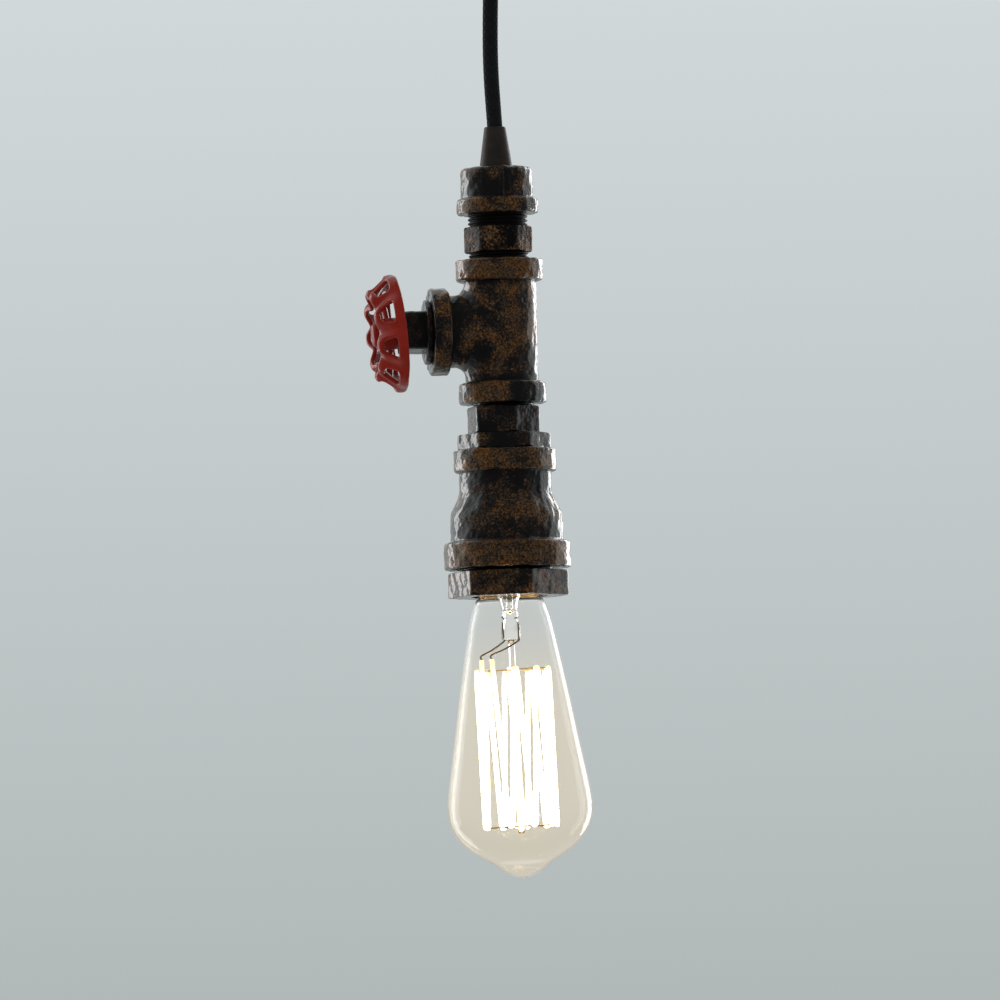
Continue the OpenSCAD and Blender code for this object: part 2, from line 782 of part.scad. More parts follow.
// Tee with a band round each of its three mouths
module tee() {
    color(bronze) difference() {
        union() {
            translate([0, 0, tee_base_z]) cylinder(d = tee_d, h = 2 * tee_half);
            translate([0, 0, tee_base_z]) rounded_disc(tee_band_d, tee_band_h, edge_round);
            translate([0, 0, tee_top_z - tee_band_h]) rounded_disc(tee_band_d, tee_band_h, edge_round);
            on_branch(0) cylinder(d = tee_d, h = tee_branch);
            on_branch(tee_branch - branch_band_h) rounded_disc(tee_band_d, branch_band_h, edge_round);
        }
        translate([0, 0, tee_base_z - past]) cylinder(d = tee_hollow_d, h = 2 * tee_half + 2 * past);
        translate([0, 0, tee_base_z - past]) female_bore(thread_small, engage + 2 * past);
        translate([0, 0, tee_top_z - engage - past]) female_bore(thread_small, engage + 2 * past);
        on_branch(0) cylinder(d = tee_hollow_d, h = tee_branch + past);
        on_branch(tee_branch - engage - past) female_bore(thread_small, engage + 2 * past);
    }
}

// Plug with a collar and a square head, tapped for the wheel's screw and, inside, for the earth screw
module branch_plug() {
    square_round_d = plug_af * 1.3;
    color(black) difference() {
        union() {
            on_branch(tee_branch - engage) male_thread(thread_small, engage + joint_gap);
            on_branch(plug_face) rounded_disc(plug_collar_d, plug_collar_h, plug_collar_h / 3);
            on_branch(plug_face + plug_collar_h) intersection() {
                rotate(45 + square_turn) cylinder(d = plug_af * sqrt(2), h = plug_head_l, $fn = 4);
                translate([0, 0, -edge_round])
                    rounded_disc(square_round_d, plug_head_l + edge_round, edge_round);
            }
        }
        on_wheel(head_face - axle_deep - seat_gap)
            cylinder(d = axle_d + 2 * screw_fit, h = axle_deep + seat_gap + past);
        on_branch(tee_branch - engage - past) cylinder(d = terminal_d + 2 * screw_fit, h = engage / 2 + past);
    }
}

module earth_screw() {
    color(brass) on_branch(tee_branch - engage) rotate([180, 0, 0])
        screw(terminal_d, engage / 2 - seat_gap);
}

// Pan-headed screw through the washer and the hub into the square head
module wheel_screw() {
    deep = washer_face + washer_h - head_face + axle_deep;
    edge = axle_head_h / 2;
    color(steel) on_wheel(washer_face + washer_h) {
        turned(concat(
            [[0, 0], [axle_head_d / 2, 0]],
            arc([axle_head_d / 2 - edge, axle_head_h - edge], edge, 0, 90),
            [[0, axle_head_h]]
        ));
        translate([0, 0, -deep]) cylinder(d = axle_d, h = deep);
    }
}

module wheel_washer() {
    color(steel) on_wheel(washer_face) difference() {
        cylinder(d = washer_d, h = washer_h);
        translate([0, 0, -past]) cylinder(d = axle_d + 2 * screw_fit, h = washer_h + 2 * past);
    }
}

// Front ring of the wheel, bevelled towards the front, grooved into lobes and opened behind each lobe
module lobed_ring() {
    back = wheel_depth - ring_h;
    difference() {
        turned([
            [wheel_open_r, back], [lobe_r, back], [lobe_r, wheel_depth - lobe_bevel],
            [lobe_r - lobe_bevel, wheel_depth], [wheel_open_r, wheel_depth]
        ]);
        for (i = [0:lobes - 1])
            rotate(360 * (i + 0.5) / lobes) translate([valley_r + groove_r, 0, back - past])
                cylinder(r = groove_r, h = ring_h + 2 * past);
        for (i = [0:lobes - 1])
            rotate(360 * i / lobes) translate([pocket_x, 0, back - past])
                cylinder(r = pocket_r, h = ring_h + 2 * past);
    }
}

// Plain band along the wheel's back edge
module wheel_rim() {
    edge = wheel_wall / 3;
    r = wheel_d / 2;
    turned(concat(
        [[r - wheel_wall, 0]],
        arc([r - edge, edge], edge, -90, 0),
        arc([r - edge, wheel_band - edge], edge, 0, 90),
        [[r - wheel_wall, wheel_band]]
    ));
}

// Flat rib that leans inwards from the band to the lobed ring, between two windows
module wheel_rib() {
    translate([rib_foot[0], 0, rib_foot[1]]) rotate([0, -rib_lean, 0])
        translate([-wheel_wall / 2, -rib_w / 2, 0]) cube([wheel_wall, rib_w, norm(rib_head - rib_foot)]);
}

// Dished cast wheel: a plain band, leaning ribs with windows between them, a lobed ring, spokes and a hub
module handwheel() {
    hub_z = hub_face - wheel_back;
    spoke_z = hub_z + (hub_l - spoke_t) / 2;
    spoke_in = (hub_d + axle_d) / 4;
    spoke_out = rib_foot[0] - (spoke_z + spoke_t / 2 - rib_foot[1]) * tan(rib_lean);
    color(red) on_wheel(wheel_back) rotate(wheel_turn) difference() {
        union() {
            wheel_rim();
            lobed_ring();
            for (i = [0:lobes - 1])
                rotate(360 * (i + 0.5) / lobes) wheel_rib();
            for (i = [0:spokes - 1])
                rotate(360 * (floor(i * lobes / spokes) + 0.5) / lobes)
                    translate([spoke_in, -spoke_w / 2, spoke_z])
                        cube([spoke_out - spoke_in, spoke_w, spoke_t]);
            translate([0, 0, hub_z]) cylinder(d = hub_d, h = hub_l);
        }
        cylinder(d = axle_d + 2 * axle_fit, h = wheel_depth + past);
    }
}

module reducing_bush() {
    color(bronze) translate([0, 0, bush_z]) difference() {
        union() {
            hex_block(bush_af, bush_round_d, bush_h, bush_turn);
            translate([0, 0, -joint_gap - engage]) male_thread(thread_mid, joint_gap + engage);
        }
        translate([0, 0, -joint_gap - engage - past])
            female_bore(thread_small, bush_h + joint_gap + engage + 2 * past);
    }
}

// Bell-shaped socket with a band at each mouth, bored in two sizes that meet in a flat step
module reducing_socket() {
    shoulder_z = socket_base_h + socket_body_h;
    mid_r = (socket_body_d + socket_neck_d) / 4;
    half = (socket_body_d - socket_neck_d) / 4;
    steps = 10;
    color(bronze) translate([0, 0, socket_base_z]) difference() {
        union() {
            turned(concat(
                [[0, 0], [socket_body_d / 2, 0]],
                [
                    for (i = [0:steps])
                        [mid_r + half * cos(180 * i / steps), shoulder_z + socket_shoulder_h * i / steps]
                ],
                [[socket_neck_d / 2, socket_h], [0, socket_h]]
            ));
            rounded_disc(socket_base_d, socket_base_h, edge_round);
            translate([0, 0, socket_h - socket_top_h]) rounded_disc(socket_top_d, socket_top_h, edge_round);
        }
        translate([0, 0, -past]) female_bore(thread_large, socket_step + past);
        female_bore(thread_mid, socket_h + past);
    }
}

module lamp_bush() {
    thread_l = lamp_bush_exposed + engage;
    color(bronze) translate([0, 0, mouth_z]) difference() {
        union() {
            hex_block(lamp_bush_af, lamp_bush_round_d, lamp_bush_h, lamp_bush_turn);
            translate([0, 0, lamp_bush_h]) male_thread(thread_large, thread_l);
        }
        translate([0, 0, -past]) cylinder(d = lamp_bush_bore, h = lamp_bush_h + thread_l + 2 * past);
    }
}

// Porcelain body, held between the lamp bush and the step in the socket
module lampholder_body() {
    floor_z = contact_z + contact_gap + contact_h + contact_disc_h;
    color(porcelain) difference() {
        union() {
            translate([0, 0, lamp_bush_top_z]) cylinder(d = holder_d, h = holder_flange_h);
            translate([0, 0, socket_step_z]) cylinder(d = holder_boss_d, h = holder_boss_h);
        }
        translate([0, 0, lamp_bush_top_z - past]) {
            cylinder(d = shell_d + 2 * seat_gap, h = shell_seat + past);
            cylinder(d = shell_d - 2 * shell_wall, h = floor_z - lamp_bush_top_z + past);
        }
        for (side = [-1, 1])
            translate([side * terminal_spacing / 2, 0, holder_top_z - holder_boss_h / 2])
                cylinder(d = terminal_d + 2 * screw_fit, h = holder_boss_h);
    }
}

module lampholder_shell() {
    bottom = mouth_z + shell_rise;
    top = lamp_bush_top_z + shell_seat;
    color(brass) translate([0, 0, bottom]) difference() {
        cylinder(d = shell_d, h = top - bottom);
        translate([0, 0, -past]) cylinder(d = shell_d - 2 * shell_wall, h = top - bottom + 2 * past);
    }
}

// Stepped middle contact that hangs from the porcelain
module lampholder_contact() {
    color(brass) translate([0, 0, contact_z + contact_gap]) {
        cylinder(d = contact_d * 0.7, h = contact_h);
        translate([0, 0, contact_h]) cylinder(d = contact_d, h = contact_disc_h);
    }
}

module lampholder_screws() {
    color(brass) for (side = [-1, 1])
        translate([side * terminal_spacing / 2, 0, holder_top_z])
            screw(terminal_d, holder_boss_h / 2 - seat_gap);
}

module live_wire() {
    color("saddlebrown") tube(smooth(live_route, 2), wire_d, 8);
}

module neutral_wire() {
    color("steelblue") tube(smooth(neutral_route, 2), wire_d, 8);
}

module earth_wire() {
    color("olivedrab") tube(smooth(earth_route, 2), wire_d, 8);
}

// Frame of the bulb: Z runs down from the cap's rim
module on_bulb(depth) {
    translate([0, 0, rim_z - depth]) rotate([180, 0, 0]) children();
}

// Brass cap: a plain skirt and a rolled screw thread
module bulb_cap() {
    crest = screw_d / 2;
    wave = 0.5;
    top = screw_l - insulator_h - contact_h;
    steps = 40;
    inner = crest - 2 * wave - cap_wall;
    color(brass) translate([0, 0, rim_z]) turned(concat(
        [[cap_skirt_r - cap_wall, 0], [cap_skirt_r, 0], [crest - wave, cap_skirt_h]],
        [
            for (i = [1:steps])
                let (z = (top - cap_skirt_h) * i / steps)
                [crest - wave - wave * cos(360 * z / screw_pitch), cap_skirt_h + z]
        ],
        [[inner, top], [inner, cap_skirt_h]]
    ));
}

// Black glass ring between the cap and the middle contact
module bulb_insulator() {
    base_r = screw_d / 2 - 1.6;
    color(black) translate([0, 0, contact_z - contact_h - insulator_h])
        cylinder(r1 = base_r, r2 = bulb_contact_r + 1, h = insulator_h);
}

module bulb_contact() {
    color(steel) translate([0, 0, contact_z - contact_h])
        cylinder(r1 = bulb_contact_r, r2 = bulb_contact_r - 1, h = contact_h);
}

// Frame of the glass and what is in it, which lean to one side from the middle of the cap's rim
module in_glass() {
    translate([0, 0, rim_z]) rotate([0, -glass_lean, 0]) translate([0, 0, -rim_z]) children();
}

// Clear envelope: straight neck in the cap, long taper, wide belly and pointed tip
module bulb_glass() {
    outer = smooth(concat(glass_points, [glass_tip]), 2);
    inner = smooth([for (p = glass_points) [p[0], p[1] - glass_t]], 2);
    color(glass) in_glass() on_bulb(0) turned(concat(
        [for (p = outer) [p[1], p[0]]],
        [[0, bulb_l - glass_t]],
        [for (i = [len(inner) - 1:-1:0]) [inner[i][1], inner[i][0]]]
    ));
}

// Glass stem: a flared foot in the neck, a tube and the flat press that holds the leads
module bulb_stem() {
    foot_r = neck_r - glass_t - hook_gap;
    color(glass) in_glass() {
        on_bulb(-neck_up) turned([
            [0, 0], [foot_r, 0], [foot_r, 1], [foot_r / 2, neck_up - 1],
            [stem_r, neck_up + press_top / 2], [stem_r, neck_up + press_top], [0, neck_up + press_top]
        ]);
        on_bulb(press_top) intersection() {
            translate([-press_w / 2, -press_t / 2, 0]) cube([press_w, press_t, press_base - press_top]);
            rounded_disc(press_w, press_base - press_top, edge_round);
        }
    }
}

module bulb_rod() {
    color(glass) in_glass() on_bulb(press_base) cylinder(r = rod_r, h = cage_base + bead_h - press_base);
}

// Angle of a bend of the filament, counted from the first lead
function bend_angle(i) = first_angle + cage_span * i / strands;

// Bead on the glass rod with a hook for each bend in the list
module hook_star(depth, bends) {
    root = (rod_r + bead_r) / 2;
    on_bulb(depth) difference() {
        union() {
            cylinder(r = bead_r, h = bead_h);
            for (i = bends)
                rotate(-bend_angle(i)) translate([root, 0, bead_h / 2]) rotate([0, 90, 0])
                    cylinder(r = hook_r, h = cage_r - filament_d / 2 - hook_gap - root);
        }
        translate([0, 0, -past]) cylinder(r = rod_r + rod_gap, h = bead_h + 2 * past);
    }
}

module bulb_upper_hooks() {
    color(steel) in_glass() hook_star(cage_top - bead_h / 2, [for (i = [2:2:strands - 2]) i]);
}

module bulb_lower_hooks() {
    color(steel) in_glass() hook_star(cage_base - bead_h / 2, [for (i = [1:2:strands - 1]) i]);
}

// Point on the cage at an angle, a step along its round, and a depth below the rim
function on_cage(angle, step, depth) =
    let (a = angle + step / cage_r * 180 / PI) [cage_r * cos(a), cage_r * sin(a), rim_z - depth];

// Four points of a bend round a hook, where down is 1 at the cage's foot and -1 at its top
function bend(i, depth, down) = [
    on_cage(bend_angle(i), -bend_w, depth - down * bend_h),
    on_cage(bend_angle(i), -bend_w * 0.6, depth),
    on_cage(bend_angle(i), bend_w * 0.6, depth),
    on_cage(bend_angle(i), bend_w, depth - down * bend_h)
];

// Whole filament: down and up between the hooks, from one lead to the other
filament_route = concat(
    [on_cage(bend_angle(0), 0, lead_drop + lead_d + lead_gap)],
    [
        for (i = [1:strands - 1])
            each bend(i, i % 2 == 1 ? cage_base : cage_top, i % 2 == 1 ? 1 : -1)
    ],
    [on_cage(bend_angle(strands), 0, lead_drop + lead_d + lead_gap)]
);
filament_gap = min([
    for (i = [1:4:len(filament_route) - 5], j = [i + 3:len(filament_route) - 1])
        norm(filament_route[i] - filament_route[j])
]) - filament_d;
echo(least_gap_between_filament_strands = filament_gap);

// Two stiff wires from the press to the ends of the filament
module bulb_leads() {
    side = press_w / 2 - lead_d;
    color(steel) in_glass() for (end = [0, 1])
        tube([
            [side * (1 - 2 * end), 0, rim_z - press_base],
            [side * (1 - 2 * end), -0.6, rim_z - press_base - 1.2],
            on_cage(bend_angle(strands * end), 0, lead_drop - 1.4) * 0.5
                + [side * (0.5 - end), 0, (rim_z - press_base - 2) * 0.5],
            on_cage(bend_angle(strands * end), 0, lead_drop - 0.8),
            on_cage(bend_angle(strands * end), 0, lead_drop + lead_d)
        ], lead_d, 8);
}

module bulb_filament() {
    color(glow) in_glass() tube(filament_route, filament_d, 6);
}

rose_cup();
rose_strap();
rose_side_screws();
terminal_block();
terminal_screws();
block_screw();
rose_earth_screw();
rose_live_wire();
rose_neutral_wire();
rose_earth_wire();
rose_grip();
rose_grip_screw();
rose_grip_nut();
cord();
cord_grip();
cord_grip_screw();
cord_grip_nut();
pipe_cap();
upper_nipple();
tee();
branch_plug();
earth_screw();
wheel_screw();
wheel_washer();
handwheel();
lower_nipple();
reducing_bush();
reducing_socket();
lamp_bush();
lampholder_body();
lampholder_shell();
lampholder_contact();
lampholder_screws();
live_wire();
neutral_wire();
earth_wire();
bulb_cap();
bulb_insulator();
bulb_contact();
bulb_glass();
bulb_stem();
bulb_rod();
bulb_upper_hooks();
bulb_lower_hooks();
bulb_leads();
bulb_filament();
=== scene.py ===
import math

import bmesh
import bpy
import numpy as np
from mathutils import Matrix, Vector


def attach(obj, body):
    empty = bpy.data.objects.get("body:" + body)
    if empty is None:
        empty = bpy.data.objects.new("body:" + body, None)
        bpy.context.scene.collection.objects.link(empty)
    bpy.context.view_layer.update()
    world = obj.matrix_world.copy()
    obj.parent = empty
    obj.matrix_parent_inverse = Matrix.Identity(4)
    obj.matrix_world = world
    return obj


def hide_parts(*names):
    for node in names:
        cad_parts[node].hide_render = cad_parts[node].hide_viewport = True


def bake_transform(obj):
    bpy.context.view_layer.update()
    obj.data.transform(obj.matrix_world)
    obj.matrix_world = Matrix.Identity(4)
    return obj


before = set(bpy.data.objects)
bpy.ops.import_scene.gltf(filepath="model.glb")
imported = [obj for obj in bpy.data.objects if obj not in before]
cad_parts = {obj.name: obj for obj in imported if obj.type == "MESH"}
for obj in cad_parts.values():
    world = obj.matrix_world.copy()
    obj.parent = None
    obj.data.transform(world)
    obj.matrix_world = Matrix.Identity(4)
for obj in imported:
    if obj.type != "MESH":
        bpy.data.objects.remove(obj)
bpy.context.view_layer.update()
scene = bpy.context.scene
scene.view_settings.view_transform = "Standard"

# Camera: a long lens a little below the middle of the lamp, which it sees slightly from its left.
# The lamp hangs a little out of true, so the lens is rolled by as much.
azimuth, elevation, roll = np.radians([-7.8, -3.4, 1.7])
view_distance = 6.0
view_width = 0.4407
level = Vector((math.cos(azimuth), math.sin(azimuth), 0))
towards = Vector((
    math.sin(azimuth) * math.cos(elevation),
    -math.cos(azimuth) * math.cos(elevation),
    math.sin(elevation),
))
upright = towards.cross(level)
right = level * math.cos(roll) - upright * math.sin(roll)
above = upright * math.cos(roll) + level * math.sin(roll)
sight_z, sight_aside = -0.296, 0.0026
view_middle = Vector((0, 0, sight_z)) - sight_aside * right
lens = bpy.data.cameras.new("camera")
lens.lens = lens.sensor_width * view_distance / view_width
lens.clip_end = 30
camera = bpy.data.objects.new("camera", lens)
camera.matrix_world = (
    Matrix.Translation(view_middle + towards * view_distance)
    @ Matrix((right, above, towards)).transposed().to_4x4()
)
scene.collection.objects.link(camera)
scene.camera = camera


# Studio: a pale blue-grey wall that is lighter towards its top and dark in reflections of the camera's side,
# two tall soft panels behind the lamp for its bright edges, two weak ones at its sides, and a pale floor.
class Shade:
    """A socket of a node tree in Python expressions: an operator adds the Math node that it stands for."""

    def __init__(self, tree, socket=None):
        self.tree = tree
        self.socket = socket

    def fill(self, made, inputs):
        """Sets a node's input sockets to links or to plain values."""
        for name, value in inputs.items():
            if isinstance(value, Shade):
                self.tree.links.new(value.socket, made.inputs[name])
            else:
                made.inputs[name].default_value = value

    def node(self, kind, settings=None, inputs=None, output=0):
        """Adds a node of that type with its settings first and then its inputs, and returns one output."""
        made = self.tree.nodes.new(kind)
        for name, value in (settings or {}).items():
            setattr(made, name, value)
        self.fill(made, inputs or {})
        return Shade(self.tree, made.outputs[output])

    def math(self, operation, first, second):
        """Adds a Math node on two values."""
        return self.node("ShaderNodeMath", {"operation": operation}, {0: first, 1: second})

    def __add__(self, other):
        return self.math("ADD", self, other)

    def __sub__(self, other):
        return self.math("SUBTRACT", self, other)

    def __rsub__(self, other):
        return self.math("SUBTRACT", other, self)

    def __mul__(self, other):
        return self.math("MULTIPLY", self, other)

    __radd__ = __add__
    __rmul__ = __mul__

    def ramp(self, low, high):
        """0 below low, 1 above high, and an S-shaped step between them."""
        return self.node(
            "ShaderNodeMapRange", {"interpolation_type": "SMOOTHSTEP"},
            {"Value": self, "From Min": low, "From Max": high},
        )

    def mix(self, first, second):
        """The first colour where this value is 0, and the second where it is 1."""
        pair = {0: self, 6: first, 7: second}
        return self.node("ShaderNodeMix", {"data_type": "RGBA", "clamp_factor": True}, pair, 2)


wall_foot = (0.440, 0.480, 0.480, 1)
wall_head = (0.640, 0.685, 0.700, 1)
wall_foot_rise, wall_head_rise = 0.0225, 0.096
camera_side = (0.030, 0.031, 0.033, 1)
side_blend = 0.35
room_light = (0.62, 0.63, 0.65, 1)
studio = bpy.data.worlds.new("studio")
studio.use_nodes = True
scene.world = studio
sky = Shade(studio.node_tree)
outward = sky.node("ShaderNodeTexCoord", output="Generated")
rise = sky.node("ShaderNodeSeparateXYZ", inputs={0: outward}, output="Z")
depth = sky.node("ShaderNodeSeparateXYZ", inputs={0: outward}, output="Y")
wall_share = sky.node(
    "ShaderNodeMapRange", inputs={"Value": rise, "From Min": wall_foot_rise, "From Max": wall_head_rise}
)
wall = wall_share.mix(wall_foot, wall_head)
reflected = depth.ramp(-side_blend, side_blend).mix(camera_side, wall)
camera_ray, glass_ray, glossy_ray = [
    sky.node("ShaderNodeLightPath", output=kind)
    for kind in ("Is Camera Ray", "Is Transmission Ray", "Is Glossy Ray")
]
around_lamp = glossy_ray.mix(room_light, reflected)
sky.fill(
    studio.node_tree.nodes["Background"], {"Color": (camera_ray + glass_ray).mix(around_lamp, wall)}
)
lamp_middle = Vector((0, 0, -0.28))


def soft_panel(name, place, radiance, height=1.5, width=0.5, mirrored=True, through_glass=True):
    """A flat soft light at a place, turned towards the lamp's middle, of a given brightness. It shows in
    reflections and through glass only if wanted."""
    light = bpy.data.lights.new(name, "AREA")
    light.shape = "RECTANGLE"
    light.size = width
    light.size_y = height
    light.energy = radiance * math.pi * width * height
    made = bpy.data.objects.new(name, light)
    made.location = place
    made.rotation_euler = (lamp_middle - made.location).to_track_quat("-Z", "Y").to_euler()
    made.visible_camera = False
    made.visible_glossy = mirrored
    made.visible_transmission = through_glass
    scene.collection.objects.link(made)


soft_panel("left_panel", (-1.10, 1.02, -0.15), radiance=3.7)
soft_panel("right_panel", (0.98, 1.12, -0.15), radiance=4.7)
soft_panel("right_fill", (1.49, 0.145, -0.15), radiance=0.5, through_glass=False)
soft_panel(
    "front_panel", (-1.30, -0.75, 0.25), radiance=0.7, height=1.3, mirrored=False, through_glass=False
)

floor_half, floor_z = 4, -1.2
floor_mesh = bpy.data.meshes.new("floor")
floor_mesh.from_pydata([
    (floor_half * x, floor_half * y, floor_z) for x, y in ((-1, -1), (1, -1), (1, 1), (-1, 1))
], [], [(0, 1, 2, 3)])
floor = bpy.data.objects.new("floor", floor_mesh)
floor_paint = bpy.data.materials.new("floor_paint")
floor_paint.use_nodes = True
floor_shader = floor_paint.node_tree.nodes["Principled BSDF"]
floor_shader.inputs["Base Color"].default_value = (0.62, 0.63, 0.64, 1)
floor_shader.inputs["Roughness"].default_value = 0.7
floor_mesh.materials.append(floor_paint)
floor.visible_glossy = False
scene.collection.objects.link(floor)

# Cord: three cores in a round black braid. It hangs from the grip under the ceiling rose, with the lamp's
# weight on it.
mm = 0.001
merge_distance = 1e-6
cord_d = 6.8
cord_route = np.array([
    [0, 0, -0.150], [0, 0, -0.141], [0, 0, -0.132], [-0.0004, 0, -0.1227], [-0.0009, 0, -0.11025],
    [-0.0010, 0, -0.0978], [-0.0007, 0, -0.08535], [-0.0002, 0, -0.0729], [0.0001, 0, -0.06045],
    [0, 0, -0.049], [0, 0, -0.040], [0, 0, -0.031],
])


def smooth_line(points, steps):
    """A curve through points: between two of them the cubic whose slopes are half the step from neighbour
    to neighbour."""
    p = np.vstack([2 * points[0] - points[1], points, 2 * points[-1] - points[-2]])
    a, b, c, d = p[:-3], p[1:-2], p[2:-1], p[3:]
    t = np.linspace(0, 1, steps, endpoint=False)[:, None, None]
    curve = b + 0.5 * t * (c - a + t * (2 * a - 5 * b + 4 * c - d + t * (3 * b - a - 3 * c + d)))
    return np.vstack([curve.transpose(1, 0, 2).reshape(-1, points.shape[1]), points[-1:]])


def along(points):
    """Distance from the first point, measured along the line."""
    return np.concatenate([[0], np.cumsum(np.linalg.norm(np.diff(points[:, :3], axis=0), axis=1))])


def unit(vectors):
    """The same directions, each with length 1."""
    return vectors / np.linalg.norm(vectors, axis=-1, keepdims=True)


def full_turn(sides):
    """A row of angles once round, from 0 to 360 degrees."""
    return np.linspace(0, 2 * np.pi, sides + 1)[None]


def round_bar(path, radius, sides, across):
    """A bar along a path: at each point a ring of that radius, square to the path, and a point at each end.
    across is a direction that the path never takes, one for all or one for each point."""
    forward = unit(np.gradient(path, axis=0))
    side = unit(np.cross(forward, across))
    up = np.cross(side, forward)
    turn = full_turn(sides)[..., None]
    ring = np.cos(turn) * side[:, None] + np.sin(turn) * up[:, None]
    bar = path[:, None] + np.broadcast_to(radius, ring.shape[:2])[..., None] * ring
    ends = [np.broadcast_to(path[i], (1, sides + 1, 3)) for i in (0, -1)]
    return np.concatenate([ends[0], bar, ends[1]])


def plain(*grids):
    """Patches for a piece, with no rubbed finish."""
    return [(grid, 0.0) for grid in grids]


def piece(name, patches, finish, slot, body, *nodes):
    """One mesh from grids of points, each with its share of rubbed finish (on the tee and its lower band lowered
    in places as painted shade): a cell of a grid is a face, points that meet are merged, and the faces are
    turned outwards. With no body, the piece rides on none yet."""
    points, faces, start = [], [], 0
    for grid, _ in patches:
        rows, columns = grid.shape[:2]
        index = start + np.arange(rows * columns).reshape(rows, columns)
        corners = [index[:-1, :-1], index[1:, :-1], index[1:, 1:], index[:-1, 1:]]
        faces.append(np.stack(corners, axis=-1).reshape(-1, 4))
        points.append(grid.reshape(-1, 3))
        start += rows * columns
    mesh = bpy.data.meshes.new(name)
    mesh.from_pydata(np.concatenate(points), [], np.concatenate(faces))
    rubbed_and_shaded = np.concatenate([np.broadcast_to(rub_and_shade, grid.shape[:2]).ravel() for grid, rub_and_shade in patches])
    mesh.attributes.new("rub_and_shade", "FLOAT", "POINT").data.foreach_set("value", rubbed_and_shaded.astype(np.float32))
    build = bmesh.new()
    build.from_mesh(mesh)
    bmesh.ops.remove_doubles(build, verts=build.verts, dist=merge_distance)
    bmesh.ops.recalc_face_normals(build, faces=build.faces)
    build.to_mesh(mesh)
    build.free()
    mesh.polygons.foreach_set("use_smooth", np.ones(len(mesh.polygons), bool))
    mesh.materials.append(finish)
    made = bpy.data.objects.new(name, mesh)
    scene.collection.objects.link(made)
    if nodes:
        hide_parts(*nodes)
    if body:
        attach(made, body)
    return made


def new_finish(name):
    """A new material, its shader and its Object coordinates in metres."""
    finish = bpy.data.materials.new(name)
    finish.use_nodes = True
    place = Shade(finish.node_tree).node("ShaderNodeTexCoord", output="Object")
    return finish, finish.node_tree.nodes["Principled BSDF"], place


def height_at(place):
    """Height in those coordinates."""
    return place.node("ShaderNodeSeparateXYZ", inputs={0: place}, output="Z")


def grain(place, size, detail=3, rough=0.55):
    """Cloudy noise from 0 to 1, whose clouds are about that many millimetres across."""
    settings = {"Vector": place, "Scale": 1 / (size * mm), "Detail": detail, "Roughness": rough}
    return place.node("ShaderNodeTexNoise", None, settings)


def relief(height, depth):
    """Bump from a height of 0 to 1 that stands for so many millimetres."""
    return height.node("ShaderNodeBump", None, {"Height": height, "Distance": depth * mm, "Strength": 1.0})


braid, shader, place = new_finish("braid")
fuzz = grain(place, 0.25, 4)
place.fill(shader, {
    "Base Color": grain(place, 3).mix((0.0035, 0.0045, 0.0055, 1), (0.010, 0.011, 0.012, 1)),
    "Roughness": 0.75 + 0.2 * fuzz,
    "Normal": relief(fuzz, 0.05),
    "Specular IOR Level": 0.3,
})
cord_path = smooth_line(cord_route, 48)
cord_sides, braid_threads, braid_pitch, braid_depth = 80, 8, 3.4, 0.10
round_cord = braid_threads * full_turn(cord_sides)
down_cord = 2 * np.pi * along(cord_path)[:, None] / (braid_pitch * mm)
threads = np.maximum(np.cos(round_cord + down_cord), np.cos(round_cord - down_cord)) * braid_depth - braid_depth
cord_bar = round_bar(cord_path, (cord_d / 2 + threads) * mm, cord_sides, (0, 1, 0))
cord = piece("braided_cord", plain(cord_bar), braid, "cord_fabric", None, "cord")
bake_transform(cord)


# Ceiling rose: a pressed steel cup, black enamelled, over a steel strap with a porcelain terminal block.
# Two side screws hold the cup to the strap, and the cord's cores end in the block.
def eased(corners, steps=5):
    """A closed outline of radius, height and further values from corners, whose third value is how far from the
    corner its rounding starts: a curve leaves one side there, leans towards the corner and joins the next."""
    corners = np.array(corners, float)
    point, ease = np.delete(corners, 2, axis=1), corners[:, 2:3]
    before, after = np.roll(point, 1, axis=0) - point, np.roll(point, -1, axis=0) - point
    start = point + before * ease / np.linalg.norm(before[:, :2], axis=1, keepdims=True)
    end = point + after * ease / np.linalg.norm(after[:, :2], axis=1, keepdims=True)
    t = np.linspace(0, 1, steps)[:, None, None]
    curve = (1 - t) ** 2 * start + 2 * t * (1 - t) * point + t**2 * end
    outline = curve.transpose(1, 0, 2).reshape(-1, point.shape[1])
    return np.vstack([outline, outline[:1]])


def finer(line, step):
    """The same line with more points, none further apart than the step."""
    distance = along(line[:, :2])
    marks = np.unique(np.concatenate([distance, np.arange(0, distance[-1], step)]))
    return np.stack([np.interp(marks, distance, column) for column in line.T], axis=1)


def turned(outline, sides, radius=None):
    """A turned piece in millimetres: the outline of radius and height carried round the upright axis."""
    turn = full_turn(sides)
    radius = outline[:, :1] if radius is None else radius
    x, y, z = np.broadcast_arrays(radius * np.cos(turn), radius * np.sin(turn), outline[:, 1:2])
    return np.stack([x, y, z], axis=-1)


def dress(finish, *nodes):
    """Gives CAD nodes that stay in view a finish."""
    for name in nodes:
        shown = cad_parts[name].data
        shown.materials.clear()
        shown.materials.append(finish)


def plain_finish(name, dark, light, cloud, metallic, smooth, dull, coat=0.0):
    """A finish that drifts between two colours in clouds of a size in millimetres, with a fine grain in its
    relief and in its roughness, which runs from smooth to dull."""
    finish, shader, place = new_finish(name)
    fine = grain(place, 0.6, 4)
    place.fill(shader, {
        "Base Color": grain(place, cloud, 4).mix((*dark, 1), (*light, 1)),
        "Roughness": smooth + (dull - smooth) * fine,
        "Metallic": metallic,
        "Normal": relief(fine, 0.02),
        "Coat Weight": coat,
    })
    return finish


